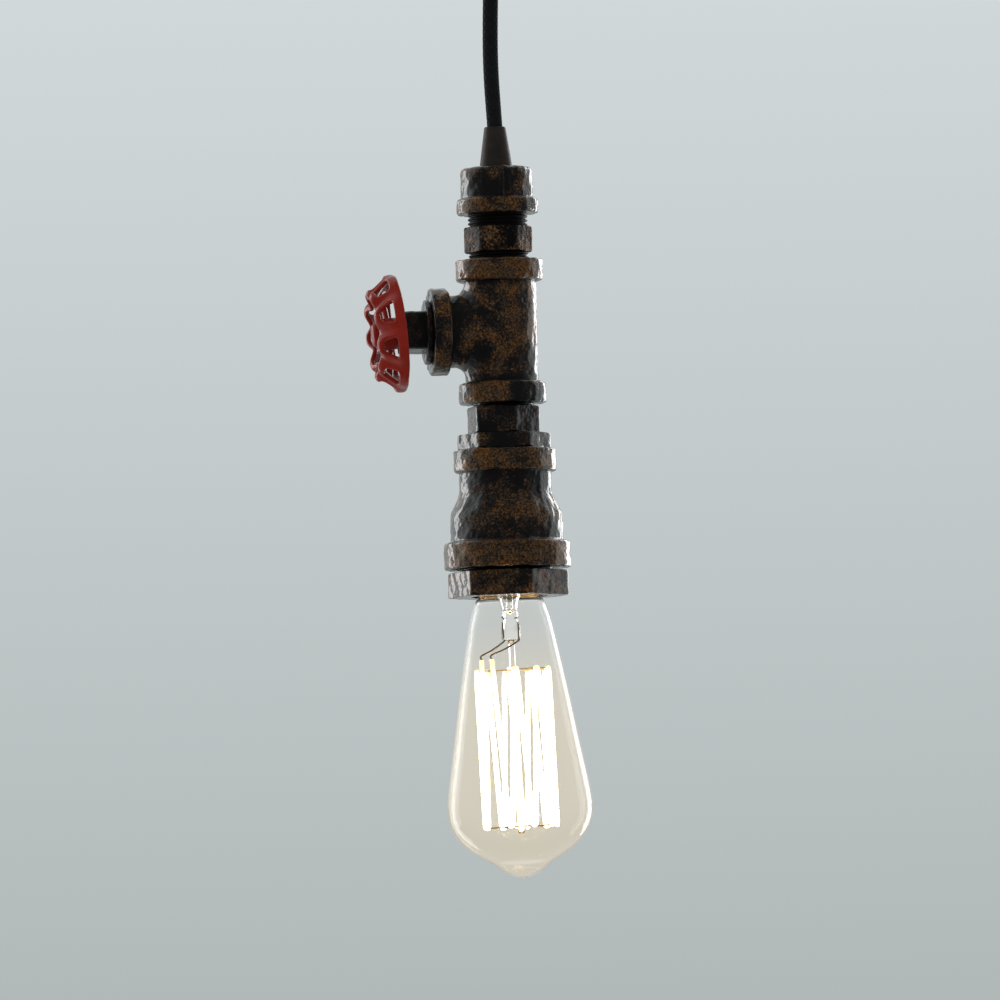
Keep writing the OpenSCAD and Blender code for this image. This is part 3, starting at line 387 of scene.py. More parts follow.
rose_r, rose_h, rose_wall, rose_hole_r = 50, 30, 1.2, 5.1
rose_outline = eased([
    (rose_hole_r, -rose_h, 0.1), (rose_r, -rose_h, 6), (rose_r, 0, 0.3), (rose_r - rose_wall, 0, 0.3),
    (rose_r - rose_wall, -rose_h + rose_wall, 4.8), (rose_hole_r, -rose_h + rose_wall, 0.1),
], 9)
enamel = plain_finish(
    "black_enamel", (0.010, 0.010, 0.011), (0.018, 0.017, 0.017), 9, 0.0, 0.28, 0.42, coat=0.3
)
rose_shell = turned(finer(rose_outline, 2), 160) * mm
piece("rose_cup_shell", plain(rose_shell), enamel, "black_steel", "ceiling_rose", "rose_cup")
zinc = plain_finish("zinc_steel", (0.42, 0.42, 0.40), (0.62, 0.62, 0.60), 4, 0.9, 0.30, 0.50)
brass = plain_finish("bright_brass", (0.50, 0.30, 0.09), (0.72, 0.48, 0.18), 5, 0.95, 0.22, 0.40)
porcelain = plain_finish(
    "glazed_porcelain", (0.74, 0.72, 0.67), (0.82, 0.80, 0.76), 6, 0.0, 0.12, 0.22, coat=0.5
)
dress(
    zinc, "rose_strap", "rose_earth_screw", "block_screw", "rose_grip_nut", "cord_grip_nut", "earth_screw"
)
dress(enamel, "rose_side_screws")
dress(porcelain, "terminal_block")
dress(brass, "terminal_screws")
brown_sleeve = plain_finish("brown_sleeve", (0.075, 0.030, 0.014), (0.11, 0.046, 0.02), 3, 0.0, 0.35, 0.5)
blue_sleeve = plain_finish("blue_sleeve", (0.015, 0.06, 0.24), (0.025, 0.09, 0.33), 3, 0.0, 0.35, 0.5)
dress(brown_sleeve, "rose_live_wire", "live_wire")
dress(blue_sleeve, "rose_neutral_wire", "neutral_wire")
earth_sleeve, shader, place = new_finish("earth_sleeve")
stripe = place.node("ShaderNodeTexWave", {"bands_direction": "DIAGONAL"}, {"Vector": place, "Scale": 120})
place.fill(shader, {
    "Base Color": stripe.ramp(0.45, 0.55).mix((0.02, 0.17, 0.035, 1), (0.72, 0.58, 0.03, 1)),
    "Roughness": 0.35 + 0.15 * grain(place, 0.6),
})
dress(earth_sleeve, "rose_earth_wire", "earth_wire")

# Cord grips: two turned brass cones, browned nearly black, one under the rose and one on the pipe cap.
# Each is held by its threaded tail and a nut, and a small side screw keeps the cord from slipping.
grip_h, grip_base, grip_tip, grip_bore, grip_tail, grip_tail_l = 18, 7.3, 4.7, 3.7, 5, 9
grip_outline = eased([
    (grip_bore, -grip_tail_l, 0.2), (grip_tail, -grip_tail_l, 0.4), (grip_tail, 0, 0.02),
    (grip_base, 0, 0.5), (grip_tip, grip_h, 0.7), (grip_bore, grip_h, 0.3),
])
cone, shader, place = new_finish("browned_cone")
height = height_at(place)
tool_marks = height.node(
    "ShaderNodeTexNoise", {"noise_dimensions": "1D"}, {"W": height, "Scale": 3500, "Detail": 2}
)
place.fill(shader, {
    "Base Color": grain(place, 4).mix((0.022, 0.019, 0.017, 1), (0.050, 0.040, 0.032, 1)),
    "Roughness": 0.45 + 0.15 * tool_marks,
    "Metallic": 0.3,
    "Normal": relief(tool_marks, 0.01),
    "Specular IOR Level": 0.25,
})
cone_turn = turned(finer(grip_outline, 0.5), 128)
cap_top_z = -149.0
lamp_cone = (cone_turn + (0, 0, cap_top_z)) * mm
rose_cone = (cone_turn * (1, -1, -1) + (0, 0, -rose_h)) * mm
piece("lamp_cord_grip", plain(lamp_cone), cone, "bronzed_brass", "pendant", "cord_grip")
piece("rose_cord_grip", plain(rose_cone), cone, "bronzed_brass", "ceiling_rose", "rose_grip")
dark_steel = plain_finish("dark_steel", (0.10, 0.095, 0.09), (0.20, 0.19, 0.18), 1.5, 0.9, 0.25, 0.45)
dress(dark_steel, "rose_grip_screw", "cord_grip_screw")


# Pipe cap: malleable iron with a beaded mouth and a mould ridge down its front and back. Like all the
# fittings, it is lacquered black, with copper bronze brushed over what stands proud.
def lumps(points, size, height):
    """The uneven skin of a casting: slow waves in fixed directions, added up, about so many millimetres long
    and high."""
    waves, evened = 14, 3.7
    draw = np.random.default_rng(11)
    ways = unit(draw.normal(size=(waves, 3))) * 2 * np.pi / (size * draw.uniform(0.7, 1.6, (waves, 1)))
    return height * np.sin(points @ ways.T + draw.uniform(0, 2 * np.pi, waves)).sum(axis=-1) / evened


def two_lumps(grid, size, height, fine_size, fine_height):
    """Coarse and fine lumps together, one value for each point, as a factor for directions."""
    return (lumps(grid, size, height) + lumps(grid, fine_size, fine_height))[..., None]


def fade(value, length):
    """0 where the value is below 0, 1 where it is over the length, and an even rise between them."""
    return np.clip(value / length, 0, 1)


tiny, fine_share = 1e-9, 0.35


def closed_slope(grid, axis):
    """Mean step between neighbours, on a grid that closes on itself in that direction."""
    before, after = np.take(grid, [-2], axis), np.take(grid, [1], axis)
    return np.delete(np.gradient(np.concatenate([before, grid, after], axis), axis=axis), [0, -1], axis)


def cast_skin(grid, size=5.0, height=0.12):
    """The grid of a casting, closed both ways, with its points moved square to its skin by the lumps."""
    outwards = np.cross(closed_slope(grid, 0), closed_slope(grid, 1))
    outwards /= np.linalg.norm(outwards, axis=-1, keepdims=True) + tiny
    return grid + outwards * two_lumps(grid, size, height, size * fine_share, height * fine_share)


def bronzed_iron(name, copper, coat):
    """Black lacquer with brushed copper bronze. The share of bronze follows the per-point rub attribute, broken
    up by clouds and flecks, and the casting's grain shows in both. On the tee and its lower band that attribute
    also holds
    painted shade: less bronze on their right and lower side."""
    finish, shader, place = new_finish(name)
    rub_and_shade = place.node("ShaderNodeAttribute", {"attribute_name": "rub_and_shade"}, output="Fac")
    cloud = grain(place, 9, 3, 0.5)
    fleck = grain(place, 0.9, 5, 0.7)
    pits = grain(place, 0.6, 3)
    swell = grain(place, 2.4, 3)
    bronze = (rub_and_shade + 1.9 * (cloud - 0.5) + 2.0 * (fleck - 0.5)).ramp(0.30, 0.96) * copper
    warm = grain(place, 7).ramp(0.38, 0.62).mix((0.170, 0.100, 0.048, 1), (0.290, 0.125, 0.028, 1))
    tint = fleck.ramp(0.36, 0.72).mix((0.034, 0.018, 0.007, 1), warm)
    place.fill(shader, {
        "Base Color": bronze.mix((0.0050, 0.0046, 0.0046, 1), tint),
        "Metallic": 0.44 * coat * bronze,
        "Roughness": 0.50 - 0.10 * bronze + 0.14 * (pits - 0.5),
        "Normal": relief(0.6 * swell + 0.4 * pits, 0.30),
        "Specular IOR Level": 0.09 + 0.2 * coat,
        "Coat Weight": coat,
        "Coat Roughness": 0.07,
    })
    return finish


iron = bronzed_iron("bronzed_iron", 1.0, 0.8)
dull_iron = bronzed_iron("dull_bronzed_iron", 1.0, 0.05)
cap_base_z, cap_r, cap_h, bead_r, bead_h, thread_r = -169.6, 15.9, 20.6, 17.9, 6.6, 13.2
cap_hole_r, cap_top, cap_sides, ridge_h, ridge_w = 5.2, 5, 256, 0.75, 0.035
cap_outline = finer(eased([
    (thread_r, 0, 0.4, 0.1), (bead_r, 0, 0.9, 0.6), (bead_r, bead_h, 1.6, 0.75),
    (cap_r, bead_h + 0.3, 0.7, 0.1), (cap_r, cap_h, 3.4, 0.6), (cap_hole_r, cap_h, 0.3, 0.3),
    (cap_hole_r, cap_h - cap_top, 0.3, 0), (thread_r, cap_h - cap_top, 0.3, 0),
], 7), 0.5)
ridge = np.exp(-(((np.abs(np.sin(full_turn(cap_sides))) - 1) * cap_r / ridge_w) ** 2)) * ridge_h
cap_radius, cap_height = cap_outline[:, :1], cap_outline[:, 1:2]
on_wall = fade(cap_height - bead_h, 1.5) * (cap_radius > 10) * fade(cap_h - 0.6 - cap_height, 2.5)
cap_grid = cast_skin(turned(cap_outline, cap_sides, cap_radius + ridge * on_wall))
piece(
    "cast_pipe_cap", [((cap_grid + (0, 0, cap_base_z)) * mm, cap_outline[:, 2:3])], iron, "bronzed_iron",
    "pendant", "pipe_cap",
)


# Hexagon nipples and bushes: cast with a rounded hexagon and turned pipe threads, which show as a dark
# stub where a fitting isn't screwed fully home.
def smaller(first, second, ease):
    """The smaller of two values, with a rounded change from one to the other."""
    share = np.clip(0.5 + 0.5 * (second - first) / ease, 0, 1)
    return second * (1 - share) + first * share - ease * share * (1 - share)


def flat_sided(turn, flats, start, count):
    """Distance from the axis to the side of a hexagon or square in each direction, from its width over flats."""
    return flats / 2 / np.cos((turn - np.radians(start)) % (2 * np.pi / count) - np.pi / count)


fitting_sides, pitch, thread_depth = 240, 1.8, 1.1


def screwed(outline, flats, start):
    """A fitting with a hexagon and a thread: the outline's fourth value is its share of hexagon and its fifth
    its share of thread, a groove that winds round once for each pitch."""
    turn = full_turn(fitting_sides)
    radius, height = outline[:, :1], outline[:, 1:2]
    groove = 0.5 - 0.5 * np.cos(2 * np.pi * height / pitch - turn)
    cut = smaller(radius + 0 * turn, flat_sided(turn, flats, start, 6), 0.5)
    radius = radius + outline[:, 3:4] * (cut - radius) - outline[:, 4:5] * thread_depth * groove**1.4
    return turned(outline, fitting_sides, radius)


def hex_fitting(name, node, finish, share, flats, round_r, start, top, base, above, below, bore):
    """A hexagon between two heights, brushed with that share of bronze, with a thread above and below it: each
    thread is a radius and a height where it ends, inside the next fitting."""
    (upper_r, upper_z), (lower_r, lower_z) = above, below
    shape = [
        (bore, lower_z, 0.2, 0, 0, 0), (lower_r, lower_z, 0.2, 0, 0, 1), (lower_r, base, 0.3, 0, 0, 1),
        (round_r, base, 1.1, 0.6, 1, 0), (round_r, top, 1.1, 0.7, 1, 0), (upper_r, top, 0.3, 0, 0, 1),
        (upper_r, upper_z, 0.2, 0, 0, 1), (bore, upper_z, 0.2, 0, 0, 0),
    ]
    outline = finer(eased(shape), 0.24)
    grid = screwed(outline, flats, start)
    skin = cast_skin(grid, 6.0, 0.10)
    grid = grid + (skin - grid) * outline[:, 3:4, None]
    piece(name, [(grid * mm, share * outline[:, 2:3])], finish, "bronzed_iron", "pendant", node)


tee_top_z, tee_base_z, socket_top_z, socket_base_z = -189.1, -253.5, -273.9, -326.3
mouth_z, engaged = -338.7, 3
hex_fitting(
    "upper_hex_nipple", "upper_nipple", dull_iron, share=0.75, flats=27, round_r=15.0, start=-7,
    top=cap_base_z - 5.7, base=-186.7, above=(thread_r, cap_base_z + engaged),
    below=(thread_r, tee_top_z - engaged), bore=9.5,
)
hex_fitting(
    "lower_hex_nipple", "lower_nipple", iron, share=0.55, flats=29, round_r=16.4, start=-22,
    top=tee_base_z - 1.4, base=-266.5, above=(thread_r, tee_base_z + engaged), below=(thread_r, -270), bore=9.5,
)
hex_fitting(
    "flat_hex_bush", "reducing_bush", iron, share=0.45, flats=37, round_r=20.6, start=-7,
    top=-266.9, base=-273.5, above=(13.6, -267.3), below=(16.6, socket_top_z - engaged), bore=thread_r,
)
hex_fitting(
    "large_hex_bush", "lamp_bush", iron, share=0.9, flats=46.8, round_r=26.8, start=-16,
    top=socket_base_z - 1.4, base=mouth_z, above=(20.95, socket_base_z + engaged),
    below=(17.5, mouth_z + 0.8), bore=15.5,
)

# Tee: a malleable iron pipe tee with a band at each of its three mouths and its branch to the left. It is
# cast in one, so the branch runs into the body in a hollow curve.
tee_z, tee_r, tee_half, tee_branch, band_r, band_h, branch_band_h = -221.3, 16.0, 32.2, 31.6, 19.2, 9.0, 7.6
tee_wall, tee_sides, into_band = 3.4, 288, 2
least_ease, more_ease, branch_start = 0.2, 5.4, 2


def joined_pipes(points):
    """Depth outside the tee: the smaller of the depths outside the upright and the branch, which starts inside
    the upright. It is eased in the corner, most above and below the branch and hardly at its sides."""
    x, y, z = np.moveaxis(points, -1, 0)
    ease = least_ease + more_ease * np.abs(z) / (np.hypot(y, z) + 0.1)
    branch = np.maximum(np.hypot(y, z) - tee_r, x + branch_start)
    return smaller(np.hypot(x, y) - tee_r, branch, ease)


def tee_slope(points):
    """How the depth outside the tee grows along each axis, which is square to its skin."""
    steps = np.eye(3) * 0.01
    return np.stack([
        (joined_pipes(points + step) - joined_pipes(points - step)) / 0.02 for step in steps
    ], axis=-1)


def settle(points):
    """Moves points onto the tee's skin: a few steps along the slope of the depth outside it."""
    for _ in range(6):
        slope = tee_slope(points)
        points = points - (joined_pipes(points) / ((slope**2).sum(axis=-1) + tiny))[..., None] * slope
    return points


around = full_turn(tee_sides)
sine, cosine = np.sin(around), np.cos(around)
out = np.linspace(0, 1, 56)[:, None]
seam_x, seam_z = tee_r * np.abs(cosine), tee_r * cosine
neck_end, body_end = tee_branch - branch_band_h + into_band, tee_half - band_h + into_band
neck_x = neck_end + out * (seam_x - neck_end)
neck = np.stack(np.broadcast_arrays(-neck_x, tee_r * sine, seam_z), axis=-1)
to_side = np.maximum(np.abs(sine), np.abs(cosine))
seam_turn = np.arctan2(sine, np.abs(cosine))
body_turn = seam_turn + out * (np.pi * sine / to_side - seam_turn)
body_z = seam_z + out * (body_end * cosine / to_side - seam_z)
body = np.stack(np.broadcast_arrays(-tee_r * np.cos(body_turn), tee_r * np.sin(body_turn), body_z), axis=-1)
tee_grid = settle(np.concatenate([neck, body[1:]]))
tee_x, tee_y, tee_up = np.moveaxis(tee_grid, -1, 0)
corner_gap = np.abs(np.hypot(tee_x, tee_y) - np.hypot(tee_y, tee_up))
in_corner = np.exp(-((corner_gap / 3.0) ** 2)) * fade(-tee_x - 4, 8)
near_band = np.maximum(np.abs(tee_up) - (tee_half - band_h), -tee_x - (neck_end - 4))
# Painted shade: less bronze towards the tee's right and lower side, darkening it where less light falls.
painted_shade_side = fade(tee_x + 2, 6) * fade(-tee_up - 4, 9)
tee_rub_and_shade = 0.58 * fade(-near_band, 4) * (1 - 0.6 * in_corner) * (1 - 0.75 * painted_shade_side)
tee_out = unit(tee_slope(tee_grid))
tee_skin = tee_grid + tee_out * two_lumps(tee_grid, 6.5, 0.16, 2.3, 0.06)
tee_lining = tee_grid - tee_out * tee_wall
mouth = np.arange(-tee_sides // 8, tee_sides // 8 + 1)
tee_rims = [np.stack([tee_skin[0], tee_lining[0]])] + [
    np.stack([tee_skin[-1, rim], tee_lining[-1, rim]]) for rim in (mouth % tee_sides, mouth + tee_sides // 2)
]
tee_patches = [(tee_skin, tee_rub_and_shade)] + plain(tee_lining, *tee_rims)
piece(
    "cast_tee_body", [((grid + (0, 0, tee_z)) * mm, rub_and_shade) for grid, rub_and_shade in tee_patches], iron, "bronzed_iron",
    "pendant", "tee",
)
tee_band = finer(eased([
    (thread_r, 0, 0.5, 0.1), (band_r, 0, 1.0, 0.75), (band_r, band_h, 1.3, 0.9),
    (tee_r - 0.3, band_h + 0.9, 0.9, 0.05), (tee_r - 2.2, band_h + 0.9, 0.2, 0), (thread_r, band_h, 0.2, 0),
], 7), 0.5)
band_turn = turned(tee_band, fitting_sides)
upper_band = cast_skin(band_turn * (1, -1, -1) + (0, 0, tee_half - 0.9))
lower_band = cast_skin(band_turn - (0, 0, tee_half))
branch_band = cast_skin(np.stack([
    band_turn[..., 2] * branch_band_h / band_h - tee_branch, band_turn[..., 1], -band_turn[..., 0]
], axis=-1))
band_rub = tee_band[:, 2:3]
# Painted shade: less bronze on the right side of the lower band, darkening it where less light falls.
lower_rub_and_shade = band_rub * (1 - 0.75 * fade(lower_band[..., 0] + 2, 5))
band_patches = [(upper_band, band_rub), (lower_band, lower_rub_and_shade), (branch_band, 0.7 * band_rub)]
piece(
    "cast_tee_bands", [((grid + (0, 0, tee_z)) * mm, rub_and_shade) for grid, rub_and_shade in band_patches],
    iron, "bronzed_iron", "pendant",
)

# Branch plug: black malleable iron, with a collar against the tee and a square head for the spanner.
# The wheel's screw goes into the middle of the square.
black_iron = bronzed_iron("black_iron", 0.30, 0.7)
plug_face, collar_r, collar_h, square, head_l = 32.0, 14.3, 2.2, 17.0, 11.1
plug_hole_r, plug_tail_r, corner_r, plug_top, square_start = 3.1, 13.0, 11.0, collar_h + head_l, 51
plug_outline = finer(eased([
    (plug_hole_r, -engaged, 0.1, 0, 0), (plug_tail_r, -engaged, 0.2, 0, 0), (plug_tail_r, 0, 0.1, 0, 0),
    (collar_r, 0, 0.7, 0.4, 0), (collar_r, collar_h, 0.7, 0.4, 0), (corner_r, collar_h, 0.4, 0.1, 1),
    (corner_r, plug_top, 1.2, 0.7, 1), (plug_hole_r, plug_top, 0.2, 0.1, 0),
]), 0.4)


def on_branch(grid, distance):
    """A grid made along the upright axis, laid along the branch so far from the tee's axis, in metres."""
    return np.stack([-grid[..., 2] - distance, grid[..., 1], grid[..., 0] + tee_z], axis=-1) * mm


plug_turn = full_turn(fitting_sides)
round_radius = plug_outline[:, :1]
squared = smaller(round_radius + 0 * plug_turn, flat_sided(plug_turn, square, square_start, 4), 0.6)
plug_radius = round_radius + plug_outline[:, 3:4] * (squared - round_radius)
plug_grid = cast_skin(turned(plug_outline, fitting_sides, plug_radius), height=0.07)
piece(
    "square_head_plug", [(on_branch(plug_grid, plug_face), plug_outline[:, 2:3])], black_iron, "black_iron",
    "pendant", "branch_plug",
)

# Valve wheel: a dished casting in glossy red paint, with nine lobes, a window in each lobe and a plain band
# along its back edge. It turns on a screw and washer in the plug's square head, and droops a little.
wheel_turn, wheel_droop, lobe_count, wheel_wall, head_face, wheel_overlap = 11, 5, 9, 2.0, 45.3, 0.5
lobe_line = smooth_line(np.array([
    [26.2, 1.0], [26.3, 2.2], [26.1, 3.6], [25.8, 5.0], [25.3, 6.6], [24.4, 8.2], [23.1, 9.8], [21.5, 11.3],
    [19.9, 12.4], [18.4, 13.0], [17.3, 12.8],
]), 12)
valley_line = smooth_line(np.array([
    [25.6, 1.0], [25.5, 2.0], [25.0, 3.2], [24.1, 4.5], [22.9, 5.8], [21.5, 7.1], [20.0, 8.4], [18.5, 9.6],
    [17.1, 10.5], [15.8, 11.1], [14.8, 11.1],
]), 12)


def wheel_skin(bearing, way):
    """Outside of the wheel: its radius and height run from the back edge (way 0) to the front edge (way 1)
    along the lobes' line, along the valleys' line half-way between two lobes, and along a mixture elsewhere."""
    scallop = (0.5 - 0.5 * np.cos(lobe_count * bearing)) ** 1.5
    station = np.linspace(0, 1, len(lobe_line))
    radius, height = [
        np.interp(way, station, lobe_line[:, i]) * (1 - scallop)
        + np.interp(way, station, valley_line[:, i]) * scallop
        for i in (0, 1)
    ]
    return np.stack([radius * np.cos(bearing), radius * np.sin(bearing), height], axis=-1)


def lip(edge, outwards, away):
    """Rounded edge of the wheel's wall: half circles from its outside to its inside that bulge away from it."""
    turn = np.linspace(0, np.pi, 8)[:, None, None]
    return edge + wheel_wall / 2 * (outwards * (np.cos(turn) - 1) + away * np.sin(turn))


def on_wheel(grid, turn=0.0):
    """A grid round the wheel's axis, turned about it, leant with the screw and set on the plug, in metres."""
    bearing, lean = np.radians([wheel_turn + turn, wheel_droop])
    x = grid[..., 0] * np.cos(bearing) - grid[..., 1] * np.sin(bearing)
    y = grid[..., 0] * np.sin(bearing) + grid[..., 1] * np.cos(bearing)
    z = grid[..., 2] - wheel_overlap
    return on_branch(np.stack([
        x * np.cos(lean) - z * np.sin(lean), y, x * np.sin(lean) + z * np.cos(lean)
    ], axis=-1), head_face)


lobe_sides = 120
turn_in_lobe = full_turn(lobe_sides)
across_way, along_way = np.cos(turn_in_lobe), np.sin(turn_in_lobe)
to_edge = 1 / np.maximum(np.abs(across_way), np.abs(along_way))
to_window = (np.abs(across_way) ** 3 + np.abs(along_way) ** 3) ** (-1 / 3)
window_mid, window_half, window_turn, window_taper, nudge = 0.50, 0.29, 14.0, 0.10, 0.012
window_way = window_half * to_window * along_way
window_bearing = window_turn * (1 - window_taper * to_window * along_way) * to_window * across_way
edge_way = to_edge * along_way * np.where(along_way > 0, 1 - window_mid, window_mid)
edge_bearing = 180 / lobe_count * to_edge * across_way
from_window = np.linspace(0, 1, 30)[:, None] ** 1.1
way = window_mid + window_way + from_window * (edge_way - window_way)
bearing = np.radians(window_bearing + from_window * (edge_bearing - window_bearing))
lobe_skin = wheel_skin(bearing, way)
around_wheel = wheel_skin(bearing + nudge, way) - wheel_skin(bearing - nudge, way)
forwards = unit(wheel_skin(bearing, way + nudge) - wheel_skin(bearing, way - nudge))
lobe_out = unit(np.cross(around_wheel, forwards))
into_window = unit(np.cross(lobe_out[0], closed_slope(lobe_skin[0], 0)))
corner = lobe_sides // 8
front, back = np.s_[-1, corner:3 * corner + 1], np.s_[-1, 5 * corner:7 * corner + 1]
lobe_patches = [
    lobe_skin, lobe_skin - wheel_wall * lobe_out, lip(lobe_skin[0], lobe_out[0], into_window),
    lip(lobe_skin[front], lobe_out[front], forwards[front]),
    lip(lobe_skin[back], lobe_out[back], -forwards[back]),
]
red_paint, shader, place = new_finish("red_gloss_paint")
drips = grain(place, 5, 3)
worn = grain(place, 0.8, 4)
place.fill(shader, {
    "Base Color": drips.mix((0.200, 0.0105, 0.0050, 1), (0.310, 0.0200, 0.0090, 1)),
    "Roughness": 0.40 + 0.10 * worn,
    "Normal": relief(0.8 * drips + 0.2 * worn, 0.30),
    "Specular IOR Level": 0.1,
    "Coat Weight": 0.4,
    "Coat Roughness": 0.05,
})
lobes = [on_wheel(grid, 360 / lobe_count * i) for i in range(lobe_count) for grid in lobe_patches]
piece("valve_wheel_shell", plain(*lobes), red_paint, "red_iron", "handwheel", "handwheel")
hub_z, hub_l, hub_r, axle_r, spoke_r, spoke_count, spoke_start = 1.2, 7.6, 7.0, 3.05, 1.5, 3, 20
hub_outline = finer(eased([
    (axle_r, hub_z, 0.2), (hub_r, hub_z, 0.6), (hub_r, hub_z + hub_l, 0.8), (axle_r, hub_z + hub_l, 0.2),
]), 0.5)
spoke_path = smooth_line(np.array([
    [5.0, 0, 5.0], [8.0, 0, 5.0], [11.0, 0, 5.0], [14.0, 0, 5.1], [17.0, 0, 5.3], [20.2, 0, 5.5]
]), 6)
spoke = round_bar(spoke_path, spoke_r, 24, (0, 1, 0)) * (1, 1.7, 1)
spokes = [on_wheel(spoke, spoke_start + 360 / spoke_count * i) for i in range(spoke_count)]
hub = on_wheel(turned(hub_outline, 96))
piece("valve_wheel_hub", plain(hub, *spokes), red_paint, "red_iron", "handwheel")
dress(red_paint, "wheel_screw", "wheel_washer")

# Reducing socket: a bell-shaped casting, with a narrow band above and a broad one below. The bush screws
# into its top, and the large bush that carries the lampholder into its mouth.
socket_h, socket_step, upper_bore_r, lower_bore_r = 52.4, 24.6, 16.8, 21.0
socket_top_r, socket_neck_r, socket_base_r = 22.6, 20.3, 27.9
socket_corners = [
    (lower_bore_r, 0, 0.6, 0.1), (socket_base_r, 0, 1.0, 0.7), (socket_base_r, 11.4, 1.3, 0.8),
    (24.7, 12.0, 0.9, 0.05), (24.8, 23.8, 2.2, 0.6), (socket_neck_r, 33.2, 2.2, 0.35),
    (socket_neck_r, socket_h - 10.0, 0.9, 0.05), (socket_top_r, socket_h - 9.6, 1.3, 0.75),
    (socket_top_r, socket_h, 1.0, 0.7), (upper_bore_r, socket_h, 0.6, 0.1),
    (upper_bore_r, socket_step, 0.2, 0), (lower_bore_r, socket_step, 0.2, 0),
]
socket_outline = finer(eased(socket_corners, 7), 0.55)
socket_grid = cast_skin(turned(socket_outline, 288), 6.5, 0.15)
piece(
    "cast_reducing_socket", [((socket_grid + (0, 0, socket_base_z)) * mm, socket_outline[:, 2:3])], iron,
    "bronzed_iron", "pendant", "reducing_socket",
)

# Lampholder: a porcelain body between the socket's step and the large bush, with a brass screw shell and
# middle contact. It sits inside the fittings, and only the shell's edge shows from below.
dress(porcelain, "lampholder_body")
dress(brass, "lampholder_shell", "lampholder_contact", "lampholder_screws")

# Bulb: a long clear envelope on a brass screw cap, with a glass stem and rod inside. Wire hooks on two
# beads carry one filament up and down round a cage, and two lead wires feed it from the press.
rim_z, glass_lean, bulb_l, glass_t = -338.0, 1.4, 124.7, 0.8
glass_points = np.array([
    [-6, 11.4], [-1, 11.4], [0.2, 12.6], [1.8, 14.7], [5.4, 16.3], [13, 18.5], [29.3, 21.6], [45.6, 24.5],
    [64.3, 27.6], [81, 30.5], [90.7, 31.9], [94.7, 32.0], [98.7, 31.6], [102.7, 30.3], [106.7, 28.0],
    [110.2, 25.0], [113.2, 21.4], [115.7, 17.3], [117.9, 13.3], [120.3, 10.2], [122.7, 6.9], [bulb_l, 0],
    [122.7, -6.9],
])


def in_glass(grid):
    """A grid whose heights start at the rim of the cap, leant over with the glass, in metres."""
    lean = math.radians(glass_lean)
    x, y, z = np.moveaxis(grid, -1, 0)
    return np.stack([
        x * math.cos(lean) - z * math.sin(lean), y, x * math.sin(lean) + z * math.cos(lean) + rim_z
    ], axis=-1) * mm


neck_z, belly_z = -0.345, -0.390


def clear_glass(name, tint, bend, warmth):
    """Clear glass that lets shadow rays through and bends light by so much, with a trace of the filament's
    warm light in it, which grows from the neck down to the belly."""
    finish, shader, place = new_finish(name)
    height = height_at(place)
    place.fill(shader, {
        "Base Color": tint,
        "Roughness": 0.0,
        "IOR": bend,
        "Transmission Weight": 1.0,
        "Emission Color": height.ramp(neck_z, belly_z).mix((0.15, 0.11, 0.06, 1), (1.0, 0.58, 0.04, 1)),
        "Emission Strength": warmth,
    })
    tree = finish.node_tree
    passing = place.node("ShaderNodeBsdfTransparent", None, {"Color": tint})
    shadow = place.node("ShaderNodeLightPath", output="Is Shadow Ray")
    blend = tree.nodes.new("ShaderNodeMixShader")
    tree.links.new(shadow.socket, blend.inputs[0])
    tree.links.new(shader.outputs[0], blend.inputs[1])
    tree.links.new(passing.socket, blend.inputs[2])
    tree.links.new(blend.outputs[0], tree.nodes["Material Output"].inputs["Surface"])
    return finish


envelope = clear_glass("clear_glass", (0.995, 0.988, 0.975, 1), 1.09, 0.042)
glass_line = smooth_line(glass_points, 8)[:-8]
wall_way = unit(np.gradient(glass_line, axis=0))
inner_line = (glass_line - glass_t * np.stack([-wall_way[:, 1], wall_way[:, 0]], axis=1))[::-1]
inner_line = np.vstack([[bulb_l - glass_t, 0], inner_line[inner_line[:, 1] > 0.3]])
glass_outline = np.vstack([glass_line, inner_line, glass_line[:1]])[:, ::-1] * (1, -1)
glass_grid = in_glass(turned(glass_outline, 160))
piece("bulb_envelope", plain(glass_grid), envelope, "clear_glass", "bulb", "bulb_glass")
stem_glass = clear_glass("stem_glass", (0.985, 0.985, 0.975, 1), 1.45, 0.03)


def flattened(sizes):
    """A grid from depths and the half widths of an oval in both directions at each depth."""
    line, turn = smooth_line(np.array(sizes), 6), full_turn(64)
    return np.stack(np.broadcast_arrays(
        line[:, 1:2] * np.cos(turn), line[:, 2:3] * np.sin(turn), -line[:, :1]
    ), axis=-1)


stem_outside = flattened([
    [-6.0, 9.3, 9.3], [-5.9, 10.2, 10.2], [-5.2, 10.2, 10.2], [-2.5, 7.2, 7.2], [0.5, 4.9, 4.9],
    [4.0, 3.9, 3.9], [7.4, 3.4, 3.3], [9.2, 3.9, 3.0], [10.8, 3.5, 2.5], [13.0, 4.0, 2.2], [17.0, 4.4, 2.0],
    [19.4, 3.8, 1.6], [20.2, 0, 0],
])
stem_inside = flattened([
    [-6.0, 9.3, 9.3], [-5.0, 9.1, 9.1], [-2.5, 6.3, 6.3], [0.5, 4.0, 4.0], [4.0, 3.0, 3.0], [7.0, 2.4, 2.2],
    [8.4, 0, 0],
])
exhaust_tube = turned(eased([(0.9, -6.5, 0.2), (1.6, -6.5, 0.2), (1.6, 4.0, 0.2), (0.9, 4.0, 0.2)]), 32)
stem_grids = [in_glass(grid) for grid in (stem_outside, stem_inside, exhaust_tube)]
piece("bulb_stem_glass", plain(*stem_grids), stem_glass, "clear_glass", "bulb", "bulb_stem")
cage_top, cage_base, cage_r, strands, first_angle, cage_span = 33.0, 102.0, 16.0, 18, 228, 337
